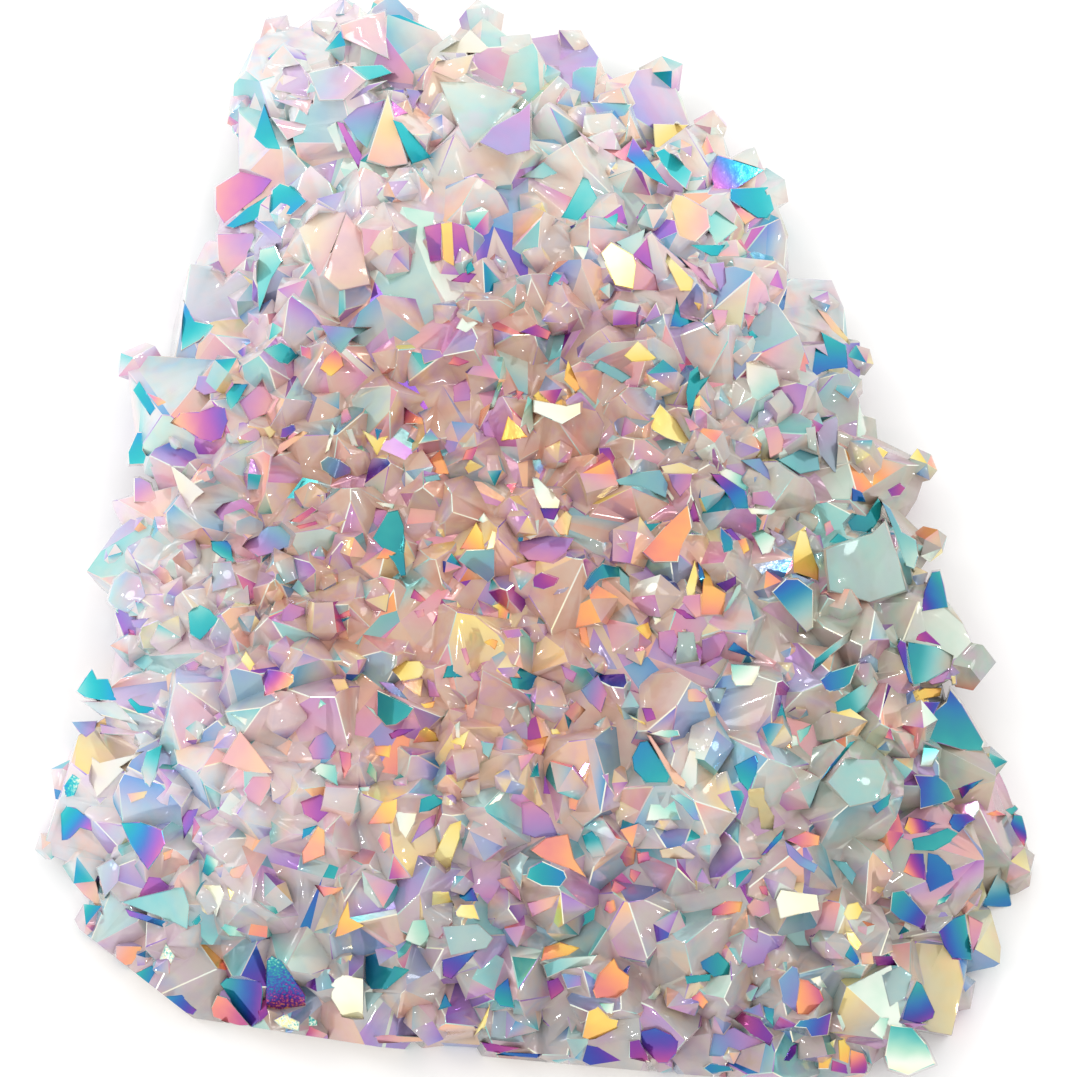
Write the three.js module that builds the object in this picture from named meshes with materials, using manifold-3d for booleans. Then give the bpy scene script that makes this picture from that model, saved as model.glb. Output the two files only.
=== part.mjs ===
// A hand-sized cluster of short, closely grown quartz points with an iridescent coat.
// It lies on the flat cut where it was taken off its rock, with the points upwards.
// Millimetres, +Z up, +Y away from someone who looks at it from the front.
import * as THREE from "three";
import { mergeVertices } from "three/addons/utils/BufferGeometryUtils.js";
import Module from "manifold-3d";

const wasm = await Module();
wasm.setup();

// Driving dimensions.
const CLUSTER_WIDTH = 112;
const CRUST_TOP = 22;
const CRUST_SWELL = { height: 3, acrossRate: 0.11, acrossStart: 1.2, upRate: 0.085, upStart: -0.4 };
const CRUST_SHOULDER = 7;
const CRUST_NEAR_SHOULDER = 1.5;
const CRUST_SECTORS = 36;
const CRUST_RINGS = [1, 0.9, 0.75, 0.55, 0.3, 0];
const SHORTEST_EDGE = 0.1;

// A crystal: the slope of the faces at a quartz tip, its length, how much it is flattened
// and how far its large and small faces are set back from the tip, all in radii.
const FACE_SLOPE = THREE.MathUtils.degToRad(51.8);
const CRYSTAL_LENGTH = 2.2;
const FLATTENING = [0.78, 1];
const LARGE_FACE_BACK = [-0.16, 0.02];
const SMALL_FACE_BACK = [0.02, 0.3];

// The crystals between the main ones: their radius in the middle and at the edge of the
// cluster, and its spread, below which radius the tip has three faces only, how far the
// axis strays and turns up from straight out of the crust, and how far the tip is from the
// crust, in radii.
const FILLER = {
  middle: 6.4, edge: 9.4, spread: [0.85, 1.1], threeFacedBelow: 6,
  stray: [-0.4, 0.4], upturn: 0.25, proud: [0.7, 0.85],
};

// The layout is drawn over a picture of the cluster, seen from the front and steeply from
// above. Places in it are in picture units, across from its left and down from its top.
const PICTURE = {
  size: 1077,
  clusterWidth: 977,
  clusterMiddle: [520, 560],
  elevation: THREE.MathUtils.degToRad(68),
  distanceOverWidth: 100 / 36,
};
const UNIT = CLUSTER_WIDTH / PICTURE.clusterWidth;
const RADIUS_OVER_SEEN_SIZE = 1.18;

// The outline of the crust under the crystals, clockwise from the top left.
const OUTLINE = [
  [305, 22], [400, 28], [520, 62], [610, 74], [680, 128], [738, 190], [778, 255],
  [808, 335], [836, 405], [874, 475], [898, 550], [930, 640], [952, 720], [974, 795],
  [990, 850], [982, 900], [952, 945], [928, 1005], [914, 1062], [810, 1068], [690, 1060],
  [560, 1050], [400, 1040], [270, 1022], [175, 1000], [124, 962], [106, 880], [88, 820],
  [104, 760], [106, 680], [128, 600], [156, 520], [164, 440], [188, 370], [214, 300],
  [252, 220], [265, 150], [282, 80],
];

// The crystals that stand out: the place of the tip and the size as seen, in picture
// units, how far the axis leans from upright and which way (0 is right, 90 is away), and
// the turn about the axis, in degrees.
const MAIN_CRYSTALS = [
  { at: [335, 55], size: 60, lean: 26, towards: 110, turn: 10 },
  { at: [285, 95], size: 34, lean: 40, towards: 170, turn: 30 },
  { at: [265, 135], size: 30, lean: 44, towards: 175, turn: 0 },
  { at: [388, 128], size: 42, lean: 16, towards: 250, turn: 50 },
  { at: [485, 95], size: 66, lean: 14, towards: 95, turn: 25 },
  { at: [450, 30], size: 34, lean: 38, towards: 95, turn: 5 },
  { at: [560, 70], size: 36, lean: 30, towards: 80, turn: 40 },
  { at: [620, 82], size: 44, lean: 28, towards: 60, turn: 0 },
  { at: [680, 150], size: 34, lean: 24, towards: 40, turn: 15 },
  { at: [640, 165], size: 34, lean: 12, towards: 300, turn: 35 },
  { at: [745, 185], size: 42, lean: 42, towards: 25, turn: 10 },
  { at: [690, 225], size: 34, lean: 22, towards: 10, turn: 45 },
  { at: [255, 200], size: 46, lean: 44, towards: 180, turn: 20 },
  { at: [250, 265], size: 40, lean: 34, towards: 185, turn: 50 },
  { at: [335, 245], size: 48, lean: 12, towards: 100, turn: 0 },
  { at: [628, 262], size: 34, lean: 16, towards: 320, turn: 20 },
  { at: [700, 280], size: 32, lean: 18, towards: 350, turn: 30 },
  { at: [795, 262], size: 40, lean: 46, towards: 15, turn: 5 },
  { at: [805, 325], size: 58, lean: 32, towards: 5, turn: 30 },
  { at: [765, 380], size: 30, lean: 20, towards: 20, turn: 55 },
  { at: [820, 430], size: 40, lean: 34, towards: 0, turn: 15 },
  { at: [880, 545], size: 64, lean: 26, towards: 350, turn: 35 },
  { at: [795, 600], size: 34, lean: 14, towards: 280, turn: 5 },
  { at: [690, 590], size: 36, lean: 10, towards: 60, turn: 40 },
  { at: [665, 535], size: 34, lean: 14, towards: 150, turn: 0 },
  { at: [835, 680], size: 44, lean: 18, towards: 330, turn: 25 },
  { at: [925, 665], size: 38, lean: 36, towards: 355, turn: 50 },
  { at: [955, 725], size: 46, lean: 46, towards: 350, turn: 15 },
  { at: [935, 590], size: 32, lean: 48, towards: 0, turn: 30 },
  { at: [862, 790], size: 60, lean: 16, towards: 300, turn: 45 },
  { at: [985, 860], size: 62, lean: 40, towards: 340, turn: 10 },
  { at: [925, 840], size: 38, lean: 30, towards: 330, turn: 40 },
  { at: [915, 905], size: 34, lean: 28, towards: 310, turn: 20 },
  { at: [958, 938], size: 38, lean: 44, towards: 320, turn: 5 },
  { at: [915, 995], size: 40, lean: 40, towards: 305, turn: 30 },
  { at: [905, 1040], size: 42, lean: 52, towards: 300, turn: 55 },
  { at: [665, 780], size: 60, lean: 10, towards: 220, turn: 20 },
  { at: [545, 875], size: 46, lean: 14, towards: 250, turn: 0 },
  { at: [455, 940], size: 50, lean: 18, towards: 265, turn: 30 },
  { at: [515, 1003], size: 44, lean: 34, towards: 275, turn: 15 },
  { at: [400, 988], size: 46, lean: 30, towards: 262, turn: 45 },
  { at: [345, 982], size: 34, lean: 32, towards: 255, turn: 10 },
  { at: [283, 974], size: 36, lean: 36, towards: 250, turn: 35 },
  { at: [235, 982], size: 38, lean: 40, towards: 240, turn: 5 },
  { at: [138, 945], size: 40, lean: 42, towards: 215, turn: 50 },
  { at: [165, 900], size: 40, lean: 28, towards: 205, turn: 25 },
  { at: [95, 875], size: 38, lean: 46, towards: 190, turn: 0 },
  { at: [148, 845], size: 36, lean: 22, towards: 195, turn: 40 },
  { at: [80, 815], size: 34, lean: 48, towards: 180, turn: 15 },
  { at: [125, 765], size: 48, lean: 26, towards: 175, turn: 30 },
  { at: [98, 695], size: 46, lean: 40, towards: 175, turn: 5 },
  { at: [243, 755], size: 36, lean: 10, towards: 160, turn: 50 },
  { at: [225, 565], size: 32, lean: 14, towards: 140, turn: 20 },
  { at: [112, 590], size: 42, lean: 38, towards: 170, turn: 45 },
  { at: [205, 400], size: 42, lean: 26, towards: 165, turn: 10 },
  { at: [195, 330], size: 38, lean: 38, towards: 165, turn: 35 },
  { at: [150, 395], size: 30, lean: 48, towards: 175, turn: 0 },
  { at: [145, 455], size: 34, lean: 44, towards: 180, turn: 25 },
  { at: [395, 530], size: 34, lean: 12, towards: 30, turn: 50 },
  { at: [400, 695], size: 32, lean: 12, towards: 200, turn: 15 },
  { at: [800, 900], size: 34, lean: 16, towards: 290, turn: 40 },
  { at: [720, 1002], size: 42, lean: 34, towards: 275, turn: 0 },
  { at: [620, 1016], size: 40, lean: 38, towards: 280, turn: 30 },
  { at: [820, 1030], size: 40, lean: 42, towards: 285, turn: 20 },
];

// A pocket where no crystal grew and the crust shows.
const POCKET = { at: [560, 365], radius: 3.2, depth: 2.5, spread: 1.8 };

// The crust is broken off clean along its near edge, in line with the sight. The break
// in the picture, from left to right.
const BREAK = [[138, 975], [193, 1018], [380, 1047], [677, 1074], [945, 1092]];

// The rest of the crystals are thrown on in rounds, large ones first. One is kept where
// its tip is further from each tip before it than a share of the two radii together.
// The share of a round's throws that go to the side of the crust is its wall.
const ROUNDS = [
  { tries: 900, share: 1.0, apart: 0.52, wall: 0.35 },
  { tries: 2600, share: 0.78, apart: 0.5, wall: 0.12 },
  { tries: 3000, share: 0.56, apart: 0.54, wall: 0 },
];

let seed = 20260612;
function random(low = 0, high = 1) {
  seed = (seed * 1664525 + 1013904223) % 4294967296;
  return low + (high - low) * (seed / 4294967296);
}

function solidOf(geometry) {
  const bare = geometry.clone();
  bare.deleteAttribute("normal");
  bare.deleteAttribute("uv");
  const merged = mergeVertices(bare, 1e-4);
  return new wasm.Manifold(
    new wasm.Mesh({
      numProp: 3,
      vertProperties: merged.attributes.position.array,
      triVerts: new Uint32Array(merged.index.array),
    }),
  );
}

function geometryOf(solid) {
  const mesh = solid.getMesh();
  const geometry = new THREE.BufferGeometry();
  geometry.setAttribute("position", new THREE.BufferAttribute(mesh.vertProperties, 3));
  geometry.setIndex(new THREE.BufferAttribute(mesh.triVerts, 1));
  return geometry;
}

// Where the line of sight through a place in the picture comes down to a given height.
function seenAt([across, down], height) {
  const rise = Math.sin(PICTURE.elevation);
  const run = Math.cos(PICTURE.elevation);
  const middle = new THREE.Vector3(0, 0, CRUST_TOP / 2);
  const distance = PICTURE.distanceOverWidth * PICTURE.size * UNIT;
  const eye = middle.clone().addScaledVector(new THREE.Vector3(0, -run, rise), distance);
  const place = middle.clone();
  place.x += (across - PICTURE.size / 2) * UNIT;
  place.addScaledVector(new THREE.Vector3(0, rise, run), (PICTURE.size / 2 - down) * UNIT);
  const sight = place.sub(eye);
  return eye.addScaledVector(sight, (height - eye.z) / sight.z);
}

// The side of the crust is low where it faces the viewer, so that the crystals there come
// down to the cut, and higher all round the rest.
function shoulder(angle) {
  const near = THREE.MathUtils.smoothstep(-Math.sin(angle), 0.2, 0.75);
  return THREE.MathUtils.lerp(CRUST_SHOULDER, CRUST_NEAR_SHOULDER, near);
}

const outline = OUTLINE.map((place) => {
  const [across, down] = PICTURE.clusterMiddle;
  return seenAt(place, shoulder(Math.atan2(down - place[1], place[0] - across)));
});
const centre = outline
  .reduce((sum, point) => sum.add(point), new THREE.Vector3())
  .divideScalar(outline.length);

// How far the outline is from the centre in a direction.
function reach(angle) {
  const x = Math.cos(angle);
  const y = Math.sin(angle);
  let far = 0;
  outline.forEach((start, i) => {
    const end = outline[(i + 1) % outline.length];
    const fromX = start.x - centre.x;
    const fromY = start.y - centre.y;
    const edgeX = end.x - start.x;
    const edgeY = end.y - start.y;
    const cross = x * edgeY - y * edgeX;
    const along = (fromX * edgeY - fromY * edgeX) / cross;
    const share = (fromX * y - fromY * x) / cross;
    if (along > 0 && share >= 0 && share <= 1) far = Math.max(far, along);
  });
  return far;
}

// The height of the crust: a low cushion with gentle swells and the pocket.
function crustHeight(x, y) {
  const angle = Math.atan2(y - centre.y, x - centre.x);
  const out = Math.min(Math.hypot(x - centre.x, y - centre.y) / reach(angle), 1);
  const cushion = THREE.MathUtils.lerp(CRUST_TOP, shoulder(angle), out ** 3);
  const { height, acrossRate, acrossStart, upRate, upStart } = CRUST_SWELL;
  const wave = Math.sin(x * acrossRate + acrossStart) * Math.cos(y * upRate + upStart);
  const pocket = seenAt(POCKET.at, CRUST_TOP);
  const away = Math.hypot(x - pocket.x, y - pocket.y) / (POCKET.radius * POCKET.spread);
  return cushion + height * wave * (1 - out) - POCKET.depth * Math.max(0, 1 - away);
}

// The crust that the crystals grow from: rings about the centre, each point moved onto the
// outline's shape, and a flat cut below.
function crustGeometry() {
  const profile = [new THREE.Vector2(0, 0), new THREE.Vector2(1, 0)];
  CRUST_RINGS.forEach((share) => profile.push(new THREE.Vector2(share, 1)));
  const geometry = new THREE.LatheGeometry(profile, CRUST_SECTORS).rotateX(Math.PI / 2);
  const place = geometry.attributes.position;
  for (let i = 0; i < place.count; i += 1) {
    const share = Math.hypot(place.getX(i), place.getY(i));
    const angle = Math.atan2(place.getY(i), place.getX(i));
    const x = centre.x + share * reach(angle) * Math.cos(angle);
    const y = centre.y + share * reach(angle) * Math.sin(angle);
    place.setXYZ(i, x, y, place.getZ(i) > 0.5 ? crustHeight(x, y) : 0);
  }
  return geometry;
}

// A six-sided prism whose tip is cut by three large sloping faces, and by three smaller
// ones between them unless it is three-faced. The tip is at the origin and the axis runs
// down. The faces are set back by uneven amounts, so it is lopsided as grown quartz is.
function crystalSolid(radius, threeFaced) {
  const length = radius * CRYSTAL_LENGTH;
  const prism = new THREE.CylinderGeometry(radius, radius, length, 6).rotateX(Math.PI / 2);
  prism.scale(1, random(...FLATTENING), 1);
  prism.translate(0, 0, -length / 2);
  let crystal = solidOf(prism);
  for (let face = 0; face < 6; face += 1) {
    const angle = (face * Math.PI) / 3;
    const small = face % 2 === 1;
    const back = radius * random(...(small ? SMALL_FACE_BACK : LARGE_FACE_BACK));
    const inward = new THREE.Vector3(-Math.cos(angle), -Math.sin(angle), 0)
      .multiplyScalar(Math.sin(FACE_SLOPE))
      .setZ(-Math.cos(FACE_SLOPE));
    if (!(small && threeFaced)) crystal = crystal.trimByPlane(inward.toArray(), -back);
  }
  return crystal;
}

// A crystal with its tip, axis and turn in place.
function placedCrystal({ tip, axis, turn, radius, threeFaced }) {
  const up = new THREE.Vector3(0, 0, 1);
  const stand = new THREE.Quaternion().setFromUnitVectors(up, axis);
  stand.multiply(new THREE.Quaternion().setFromAxisAngle(up, turn));
  const matrix = new THREE.Matrix4().compose(tip, stand, new THREE.Vector3(1, 1, 1));
  return crystalSolid(radius, threeFaced).transform(matrix.elements);
}

// A direction that leans from upright towards a side, both in degrees.
function leaningAxis(lean, towards) {
  const side = THREE.MathUtils.degToRad(towards);
  const axis = new THREE.Vector3(Math.cos(side), Math.sin(side), 0);
  axis.multiplyScalar(Math.sin(THREE.MathUtils.degToRad(lean)));
  return axis.setZ(Math.cos(THREE.MathUtils.degToRad(lean)));
}

// The main crystals: each tip is on its line of sight, and proud of the crust below it.
function mainCrystals() {
  return MAIN_CRYSTALS.map(({ at, size, lean, towards, turn }) => {
    const radius = size * UNIT * RADIUS_OVER_SEEN_SIZE;
    const axis = leaningAxis(lean, towards);
    const tip = seenAt(at, CRUST_TOP);
    for (let step = 0; step < 4; step += 1) {
      const foot = tip.clone().addScaledVector(axis, -radius);
      tip.copy(seenAt(at, crustHeight(foot.x, foot.y) + radius * axis.z));
    }
    return { tip, axis, turn: THREE.MathUtils.degToRad(turn), radius, threeFaced: false };
  });
}

// A random place on the crust, and the way it faces: on its side, or on its top.
function randomSeat(wall) {
  const onSide = random() < wall;
  const angle = random(-Math.PI, Math.PI);
  const share = onSide ? 1 : Math.sqrt(random());
  const x = centre.x + share * reach(angle) * Math.cos(angle);
  const y = centre.y + share * reach(angle) * Math.sin(angle);
  const facing = new THREE.Vector3(Math.cos(angle), Math.sin(angle), 0);
  if (onSide) {
    const seat = new THREE.Vector3(x, y, random(0.5, 1) * shoulder(angle));
    return { seat, facing, out: 1 };
  }
  facing.multiplyScalar(1.1 * share ** 3).setZ(1).normalize();
  return { seat: new THREE.Vector3(x, y, crustHeight(x, y)), facing, out: share };
}

// The crystals between the main ones: small in the middle, larger towards the edge.
function fillerCrystals(placed) {
  const pocket = seenAt(POCKET.at, CRUST_TOP);
  ROUNDS.forEach(({ tries, share, apart, wall }) => {
    for (let n = 0; n < tries; n += 1) {
      const { seat, facing, out } = randomSeat(wall);
      const full = THREE.MathUtils.lerp(FILLER.middle, FILLER.edge, out ** 3);
      const radius = full * share * random(...FILLER.spread);
      const stray = new THREE.Vector3(random(...FILLER.stray), random(...FILLER.stray), FILLER.upturn);
      const axis = facing.add(stray).normalize();
      const turn = random(0, Math.PI / 1.5);
      const tip = seat.clone().addScaledVector(axis, radius * random(...FILLER.proud));
      const clear = placed.every(
        (other) => tip.distanceTo(other.tip) > apart * (radius + other.radius),
      );
      const inPocket = Math.hypot(seat.x - pocket.x, seat.y - pocket.y) < POCKET.radius;
      if (clear && !inPocket && tip.z > radius * 0.4) {
        placed.push({ tip, axis, turn, radius, threeFaced: radius < FILLER.threeFacedBelow });
      }
    }
  });
  return placed;
}

// Takes off what is beyond the break, with a plane through each of its stretches.
function brokenOff(solid) {
  return BREAK.slice(1).reduce((rest, place, i) => {
    const start = seenAt(BREAK[i], 0);
    const up = seenAt(BREAK[i], CRUST_TOP).sub(start);
    const inward = up.cross(seenAt(place, 0).sub(start)).normalize();
    return rest.trimByPlane(inward.toArray(), inward.dot(start));
  }, solid);
}

// The whole cluster, joined in one solid, cut flat below and centred over the origin.
function quartzCluster() {
  const crystals = fillerCrystals(mainCrystals());
  const grown = wasm.Manifold.union([solidOf(crustGeometry()), ...crystals.map(placedCrystal)]);
  const cut = brokenOff(grown).trimByPlane([0, 0, 1], 0).simplify(SHORTEST_EDGE);
  const whole = cut.decompose().sort((a, b) => b.volume() - a.volume())[0];
  const geometry = geometryOf(whole);
  geometry.computeBoundingBox();
  const box = geometry.boundingBox;
  geometry.translate(-(box.min.x + box.max.x) / 2, -(box.min.y + box.max.y) / 2, -box.min.z);
  const quartz = new THREE.MeshStandardMaterial({ color: 0xd9cdd2, roughness: 0.2, metalness: 0 });
  const mesh = new THREE.Mesh(geometry, quartz);
  mesh.name = "quartz_cluster";
  return mesh;
}

const cluster = new THREE.Group();
cluster.add(quartzCluster());

export default cluster;
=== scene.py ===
"""Looks of the coated quartz cluster. The crystals of the part are grown again where the part
has them, with six tip faces each and fine edges, and small points fill the creases between
them. The facets whose coat stands out are cut and grown where they are seen. All of it is
joined in one closed mesh with an iridescent coat.
Everything is in metres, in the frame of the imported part, where it doesn't say millimetres."""

import math
import random

import bmesh
import bpy
from mathutils import Matrix, Quaternion, Vector
from mathutils.bvhtree import BVHTree


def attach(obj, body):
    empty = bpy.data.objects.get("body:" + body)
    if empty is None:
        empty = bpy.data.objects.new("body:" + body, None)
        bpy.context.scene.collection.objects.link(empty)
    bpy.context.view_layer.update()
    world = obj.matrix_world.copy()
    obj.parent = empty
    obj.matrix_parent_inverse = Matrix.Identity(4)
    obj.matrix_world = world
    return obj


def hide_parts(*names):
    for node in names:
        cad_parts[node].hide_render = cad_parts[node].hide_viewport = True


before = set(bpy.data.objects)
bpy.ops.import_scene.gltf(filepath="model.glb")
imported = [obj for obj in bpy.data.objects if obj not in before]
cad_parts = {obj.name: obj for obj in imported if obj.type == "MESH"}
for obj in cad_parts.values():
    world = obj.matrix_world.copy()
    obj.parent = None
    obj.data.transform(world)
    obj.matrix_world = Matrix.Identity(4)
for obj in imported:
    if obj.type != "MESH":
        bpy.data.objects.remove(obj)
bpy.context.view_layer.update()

MM = 0.001

# The layout is the part's own: millimetres over a picture of the cluster, seen from the
# front and steeply from above, and then moved so that its box is centred.
CLUSTER_WIDTH = 112
CRUST_TOP = 22
CRUST_SWELL = {"height": 3, "across_rate": 0.11, "across_start": 1.2, "up_rate": 0.085,
               "up_start": -0.4}
CRUST_FALL = 3
CRUST_SHOULDER = 7
CRUST_NEAR_SHOULDER = 1.5
NEAR_SIDE = (0.2, 0.75)
CRUST_SECTORS = 36
CRUST_RINGS = [1, 0.9, 0.75, 0.55, 0.3, 0]
TO_CENTRE = Vector((-0.0347, -7.3707, 0))
PICTURE = 1077
CLUSTER_MIDDLE = (520, 560)
SEEN_WIDTH = 977
UNIT = CLUSTER_WIDTH / SEEN_WIDTH
ELEVATION = math.radians(68)
LENS = 100
SENSOR = 36
ACROSS = Vector((1, 0, 0))
UP = Vector((0, math.sin(ELEVATION), math.cos(ELEVATION)))
BACK = Vector((0, -math.cos(ELEVATION), math.sin(ELEVATION)))
LOOK_AT = Vector((0, 0, CRUST_TOP / 2))
EYE = LOOK_AT + BACK * (LENS / SENSOR * PICTURE * UNIT)
RADIUS_OVER_SEEN_SIZE = 1.18

# The outline of the crust, as seen.
OUTLINE = [
    (305, 22), (400, 28), (520, 62), (610, 74), (680, 128), (738, 190), (778, 255),
    (808, 335), (836, 405), (874, 475), (898, 550), (930, 640), (952, 720), (974, 795),
    (990, 850), (982, 900), (952, 945), (928, 1005), (914, 1062), (810, 1068), (690, 1060),
    (560, 1050), (400, 1040), (270, 1022), (175, 1000), (124, 962), (106, 880), (88, 820),
    (104, 760), (106, 680), (128, 600), (156, 520), (164, 440), (188, 370), (214, 300),
    (252, 220), (265, 150), (282, 80),
]
# A dip in the crust that no crystal fills.
POCKET = {"at": (560, 365), "radius": 3.2, "depth": 2.5, "spread": 1.8}
# Where the near edge broke off, as seen.
BREAK = [(138, 975), (193, 1018), (380, 1047), (677, 1074), (945, 1092)]

# The main crystals: the place of the tip and the size as seen, the lean from upright and
# its side, and the turn, in degrees. Their feet are found in a few rounds.
SETTLING_ROUNDS = 4
MAIN_CRYSTALS = [
    (335, 55, 60, 26, 110, 10), (285, 95, 34, 40, 170, 30),
    (265, 135, 30, 44, 175, 0), (388, 128, 42, 16, 250, 50),
    (485, 95, 66, 14, 95, 25), (450, 30, 34, 38, 95, 5),
    (560, 70, 36, 30, 80, 40), (620, 82, 44, 28, 60, 0),
    (680, 150, 34, 24, 40, 15), (640, 165, 34, 12, 300, 35),
    (745, 185, 42, 42, 25, 10), (690, 225, 34, 22, 10, 45),
    (255, 200, 46, 44, 180, 20), (250, 265, 40, 34, 185, 50),
    (335, 245, 48, 12, 100, 0), (628, 262, 34, 16, 320, 20),
    (700, 280, 32, 18, 350, 30), (795, 262, 40, 46, 15, 5),
    (805, 325, 58, 32, 5, 30), (765, 380, 30, 20, 20, 55),
    (820, 430, 40, 34, 0, 15), (880, 545, 64, 26, 350, 35),
    (795, 600, 34, 14, 280, 5), (690, 590, 36, 10, 60, 40),
    (665, 535, 34, 14, 150, 0), (835, 680, 44, 18, 330, 25),
    (925, 665, 38, 36, 355, 50), (955, 725, 46, 46, 350, 15),
    (935, 590, 32, 48, 0, 30), (862, 790, 60, 16, 300, 45),
    (985, 860, 62, 40, 340, 10), (925, 840, 38, 30, 330, 40),
    (915, 905, 34, 28, 310, 20), (958, 938, 38, 44, 320, 5),
    (915, 995, 40, 40, 305, 30), (905, 1040, 42, 52, 300, 55),
    (665, 780, 60, 10, 220, 20), (545, 875, 46, 14, 250, 0),
    (455, 940, 50, 18, 265, 30), (515, 1003, 44, 34, 275, 15),
    (400, 988, 46, 30, 262, 45), (345, 982, 34, 32, 255, 10),
    (283, 974, 36, 36, 250, 35), (235, 982, 38, 40, 240, 5),
    (138, 945, 40, 42, 215, 50), (165, 900, 40, 28, 205, 25),
    (95, 875, 38, 46, 190, 0), (148, 845, 36, 22, 195, 40),
    (80, 815, 34, 48, 180, 15), (125, 765, 48, 26, 175, 30),
    (98, 695, 46, 40, 175, 5), (243, 755, 36, 10, 160, 50),
    (225, 565, 32, 14, 140, 20), (112, 590, 42, 38, 170, 45),
    (205, 400, 42, 26, 165, 10), (195, 330, 38, 38, 165, 35),
    (150, 395, 30, 48, 175, 0), (145, 455, 34, 44, 180, 25),
    (395, 530, 34, 12, 30, 50), (400, 695, 32, 12, 200, 15),
    (800, 900, 34, 16, 290, 40), (720, 1002, 42, 34, 275, 0),
    (620, 1016, 40, 38, 280, 30), (820, 1030, 40, 42, 285, 20),
]

# The crystals between them, thrown on in rounds as in the part.
THROWS_SEED = 20260612
FILLER = {"middle": 6.4, "edge": 9.4, "spread": (0.85, 1.1), "stray": (-0.4, 0.4),
          "upturn": 0.25, "proud": (0.7, 0.85), "turn": math.pi / 1.5, "least_tip": 0.4}
WALL_SEAT = (0.5, 1)
EDGE_LEAN = 1.1
ROUNDS = [
    {"tries": 900, "share": 1.0, "apart": 0.52, "wall": 0.35},
    {"tries": 2600, "share": 0.78, "apart": 0.5, "wall": 0.12},
    {"tries": 3000, "share": 0.56, "apart": 0.54, "wall": 0},
]

# A crystal, in radii: its length, its flattening and how far its tip faces are set back.
SEED = 41
FACE_SLOPE = math.radians(51.8)
PRISM_SIDES = (math.pi / 6, math.pi / 2, 5 * math.pi / 6)
CRYSTAL_LENGTH = 2.2
FLATTENING = (0.78, 1)
LARGE_FACE_BACK = (-0.16, 0.02)
SMALL_FACE_BACK = (-0.04, 0.14)
CRYSTAL_REACH = 1.5
LARGER = 1.15
BURIED = 0.3
EDGE_WIDTH = 0.09 * MM
LEAST_EDGE = 3 * EDGE_WIDTH
CRUST_MERGE = 1e-4
PLANE_GAP = 1e-5
CRYSTAL_MERGE = 1e-3

# Which facets stay crisp: by the strength of their coat, or by the angle between them.
CRISP_STRENGTH = 0.5
SOFT_ANGLE = math.radians(75)

# Painted shade in the creases: a warm, darker tint, and the angles from which it starts and is
# full.
CREASE_SHADE_FROM = 0.15
CREASE_SHADE_TO = 1.1
CREASE_SHADE_STRENGTH = 0.15
CREASE_SHADE_TINT = (0.92, 0.66, 0.50, 1)

# The small points in the creases come in sizes, large ones first: their radius in
# millimetres, and how close two may stand, as a share of their radii together.
SMALL_SIZES = [
    {"radius": (2.0, 3.0), "apart": 1.1},
    {"radius": (1.1, 1.9), "apart": 1.0},
]
# Where they are tried: how often to a crystal's millimetre, how far below its tip in radii,
# and how close to a neighbour.
TRIES_PER_MM = 9
SEAT_BELOW_TIP = (0.15, 1.3)
SEAT_WITHIN = 0.85
FACES_OUT = 0.05
NEIGHBOUR = 2
CREASE_GAP = (-0.1, 0.5)
LOWEST_SEAT = 1.2
SEAT_FACING = -0.2
SMALL_STRAY = 0.7
SMALL_POINT = {"foot": 0.75, "length": 1.2, "flattening": (0.72, 1), "tip": (0.45, 0.95),
               "lean": (-0.22, 0.22)}
SMALL_REACH = 1.3
SMALL_SEEN_AT = (0, 0.6)

# The coat's colours in the order of its thickness: how they look where they are shallow, as on the
# left, at the top and in every faint coat, and where they are deep, as in the others. The deep ones
# are darker, partly painted shade, as if lit from the upper left.
COAT = {
    "cream": (0.00, (1.00, 0.93, 0.56), (1.00, 0.92, 0.46)),
    "yellow": (0.07, (0.99, 0.78, 0.16), (0.98, 0.72, 0.08)),
    "orange": (0.14, (1.00, 0.62, 0.34), (0.98, 0.43, 0.12)),
    "coral": (0.21, (1.00, 0.46, 0.40), (0.94, 0.27, 0.20)),
    "magenta": (0.28, (0.76, 0.20, 0.56), (0.42, 0.03, 0.24)),
    "violet": (0.35, (0.48, 0.16, 0.72), (0.18, 0.02, 0.34)),
    "indigo": (0.41, (0.26, 0.20, 0.74), (0.05, 0.02, 0.34)),
    "blue": (0.47, (0.04, 0.24, 0.70), (0.00, 0.06, 0.40)),
    "azure": (0.54, (0.00, 0.42, 0.76), (0.00, 0.17, 0.44)),
    "teal": (0.62, (0.00, 0.48, 0.56), (0.00, 0.26, 0.33)),
    "turquoise": (0.70, (0.00, 0.62, 0.66), (0.00, 0.38, 0.36)),
    "aqua": (0.77, (0.26, 0.76, 0.74), (0.12, 0.56, 0.52)),
    "mint": (0.83, (0.60, 0.88, 0.74), (0.52, 0.82, 0.60)),
    # White and ivory stand for glints: painted highlights.
    "white": (0.89, (0.97, 0.98, 0.94), (0.97, 0.98, 0.94)),
    "ivory": (0.95, (1.00, 0.97, 0.70), (1.00, 0.97, 0.62)),
    "straw": (1.00, (1.00, 0.90, 0.36), (1.00, 0.90, 0.30)),
}

# How the random coats are shared out: the lively crystals, the vivid facets on these and on
# the dull ones, and how many of them stay vivid where they face the picture.
LIVELY_SHARE = 0.6
VIVID_SHARE = 0.52
DULL_SHARE = 0.1
SEEN_FROM = 0.3
SEEN_SHARE = 0.25

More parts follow.
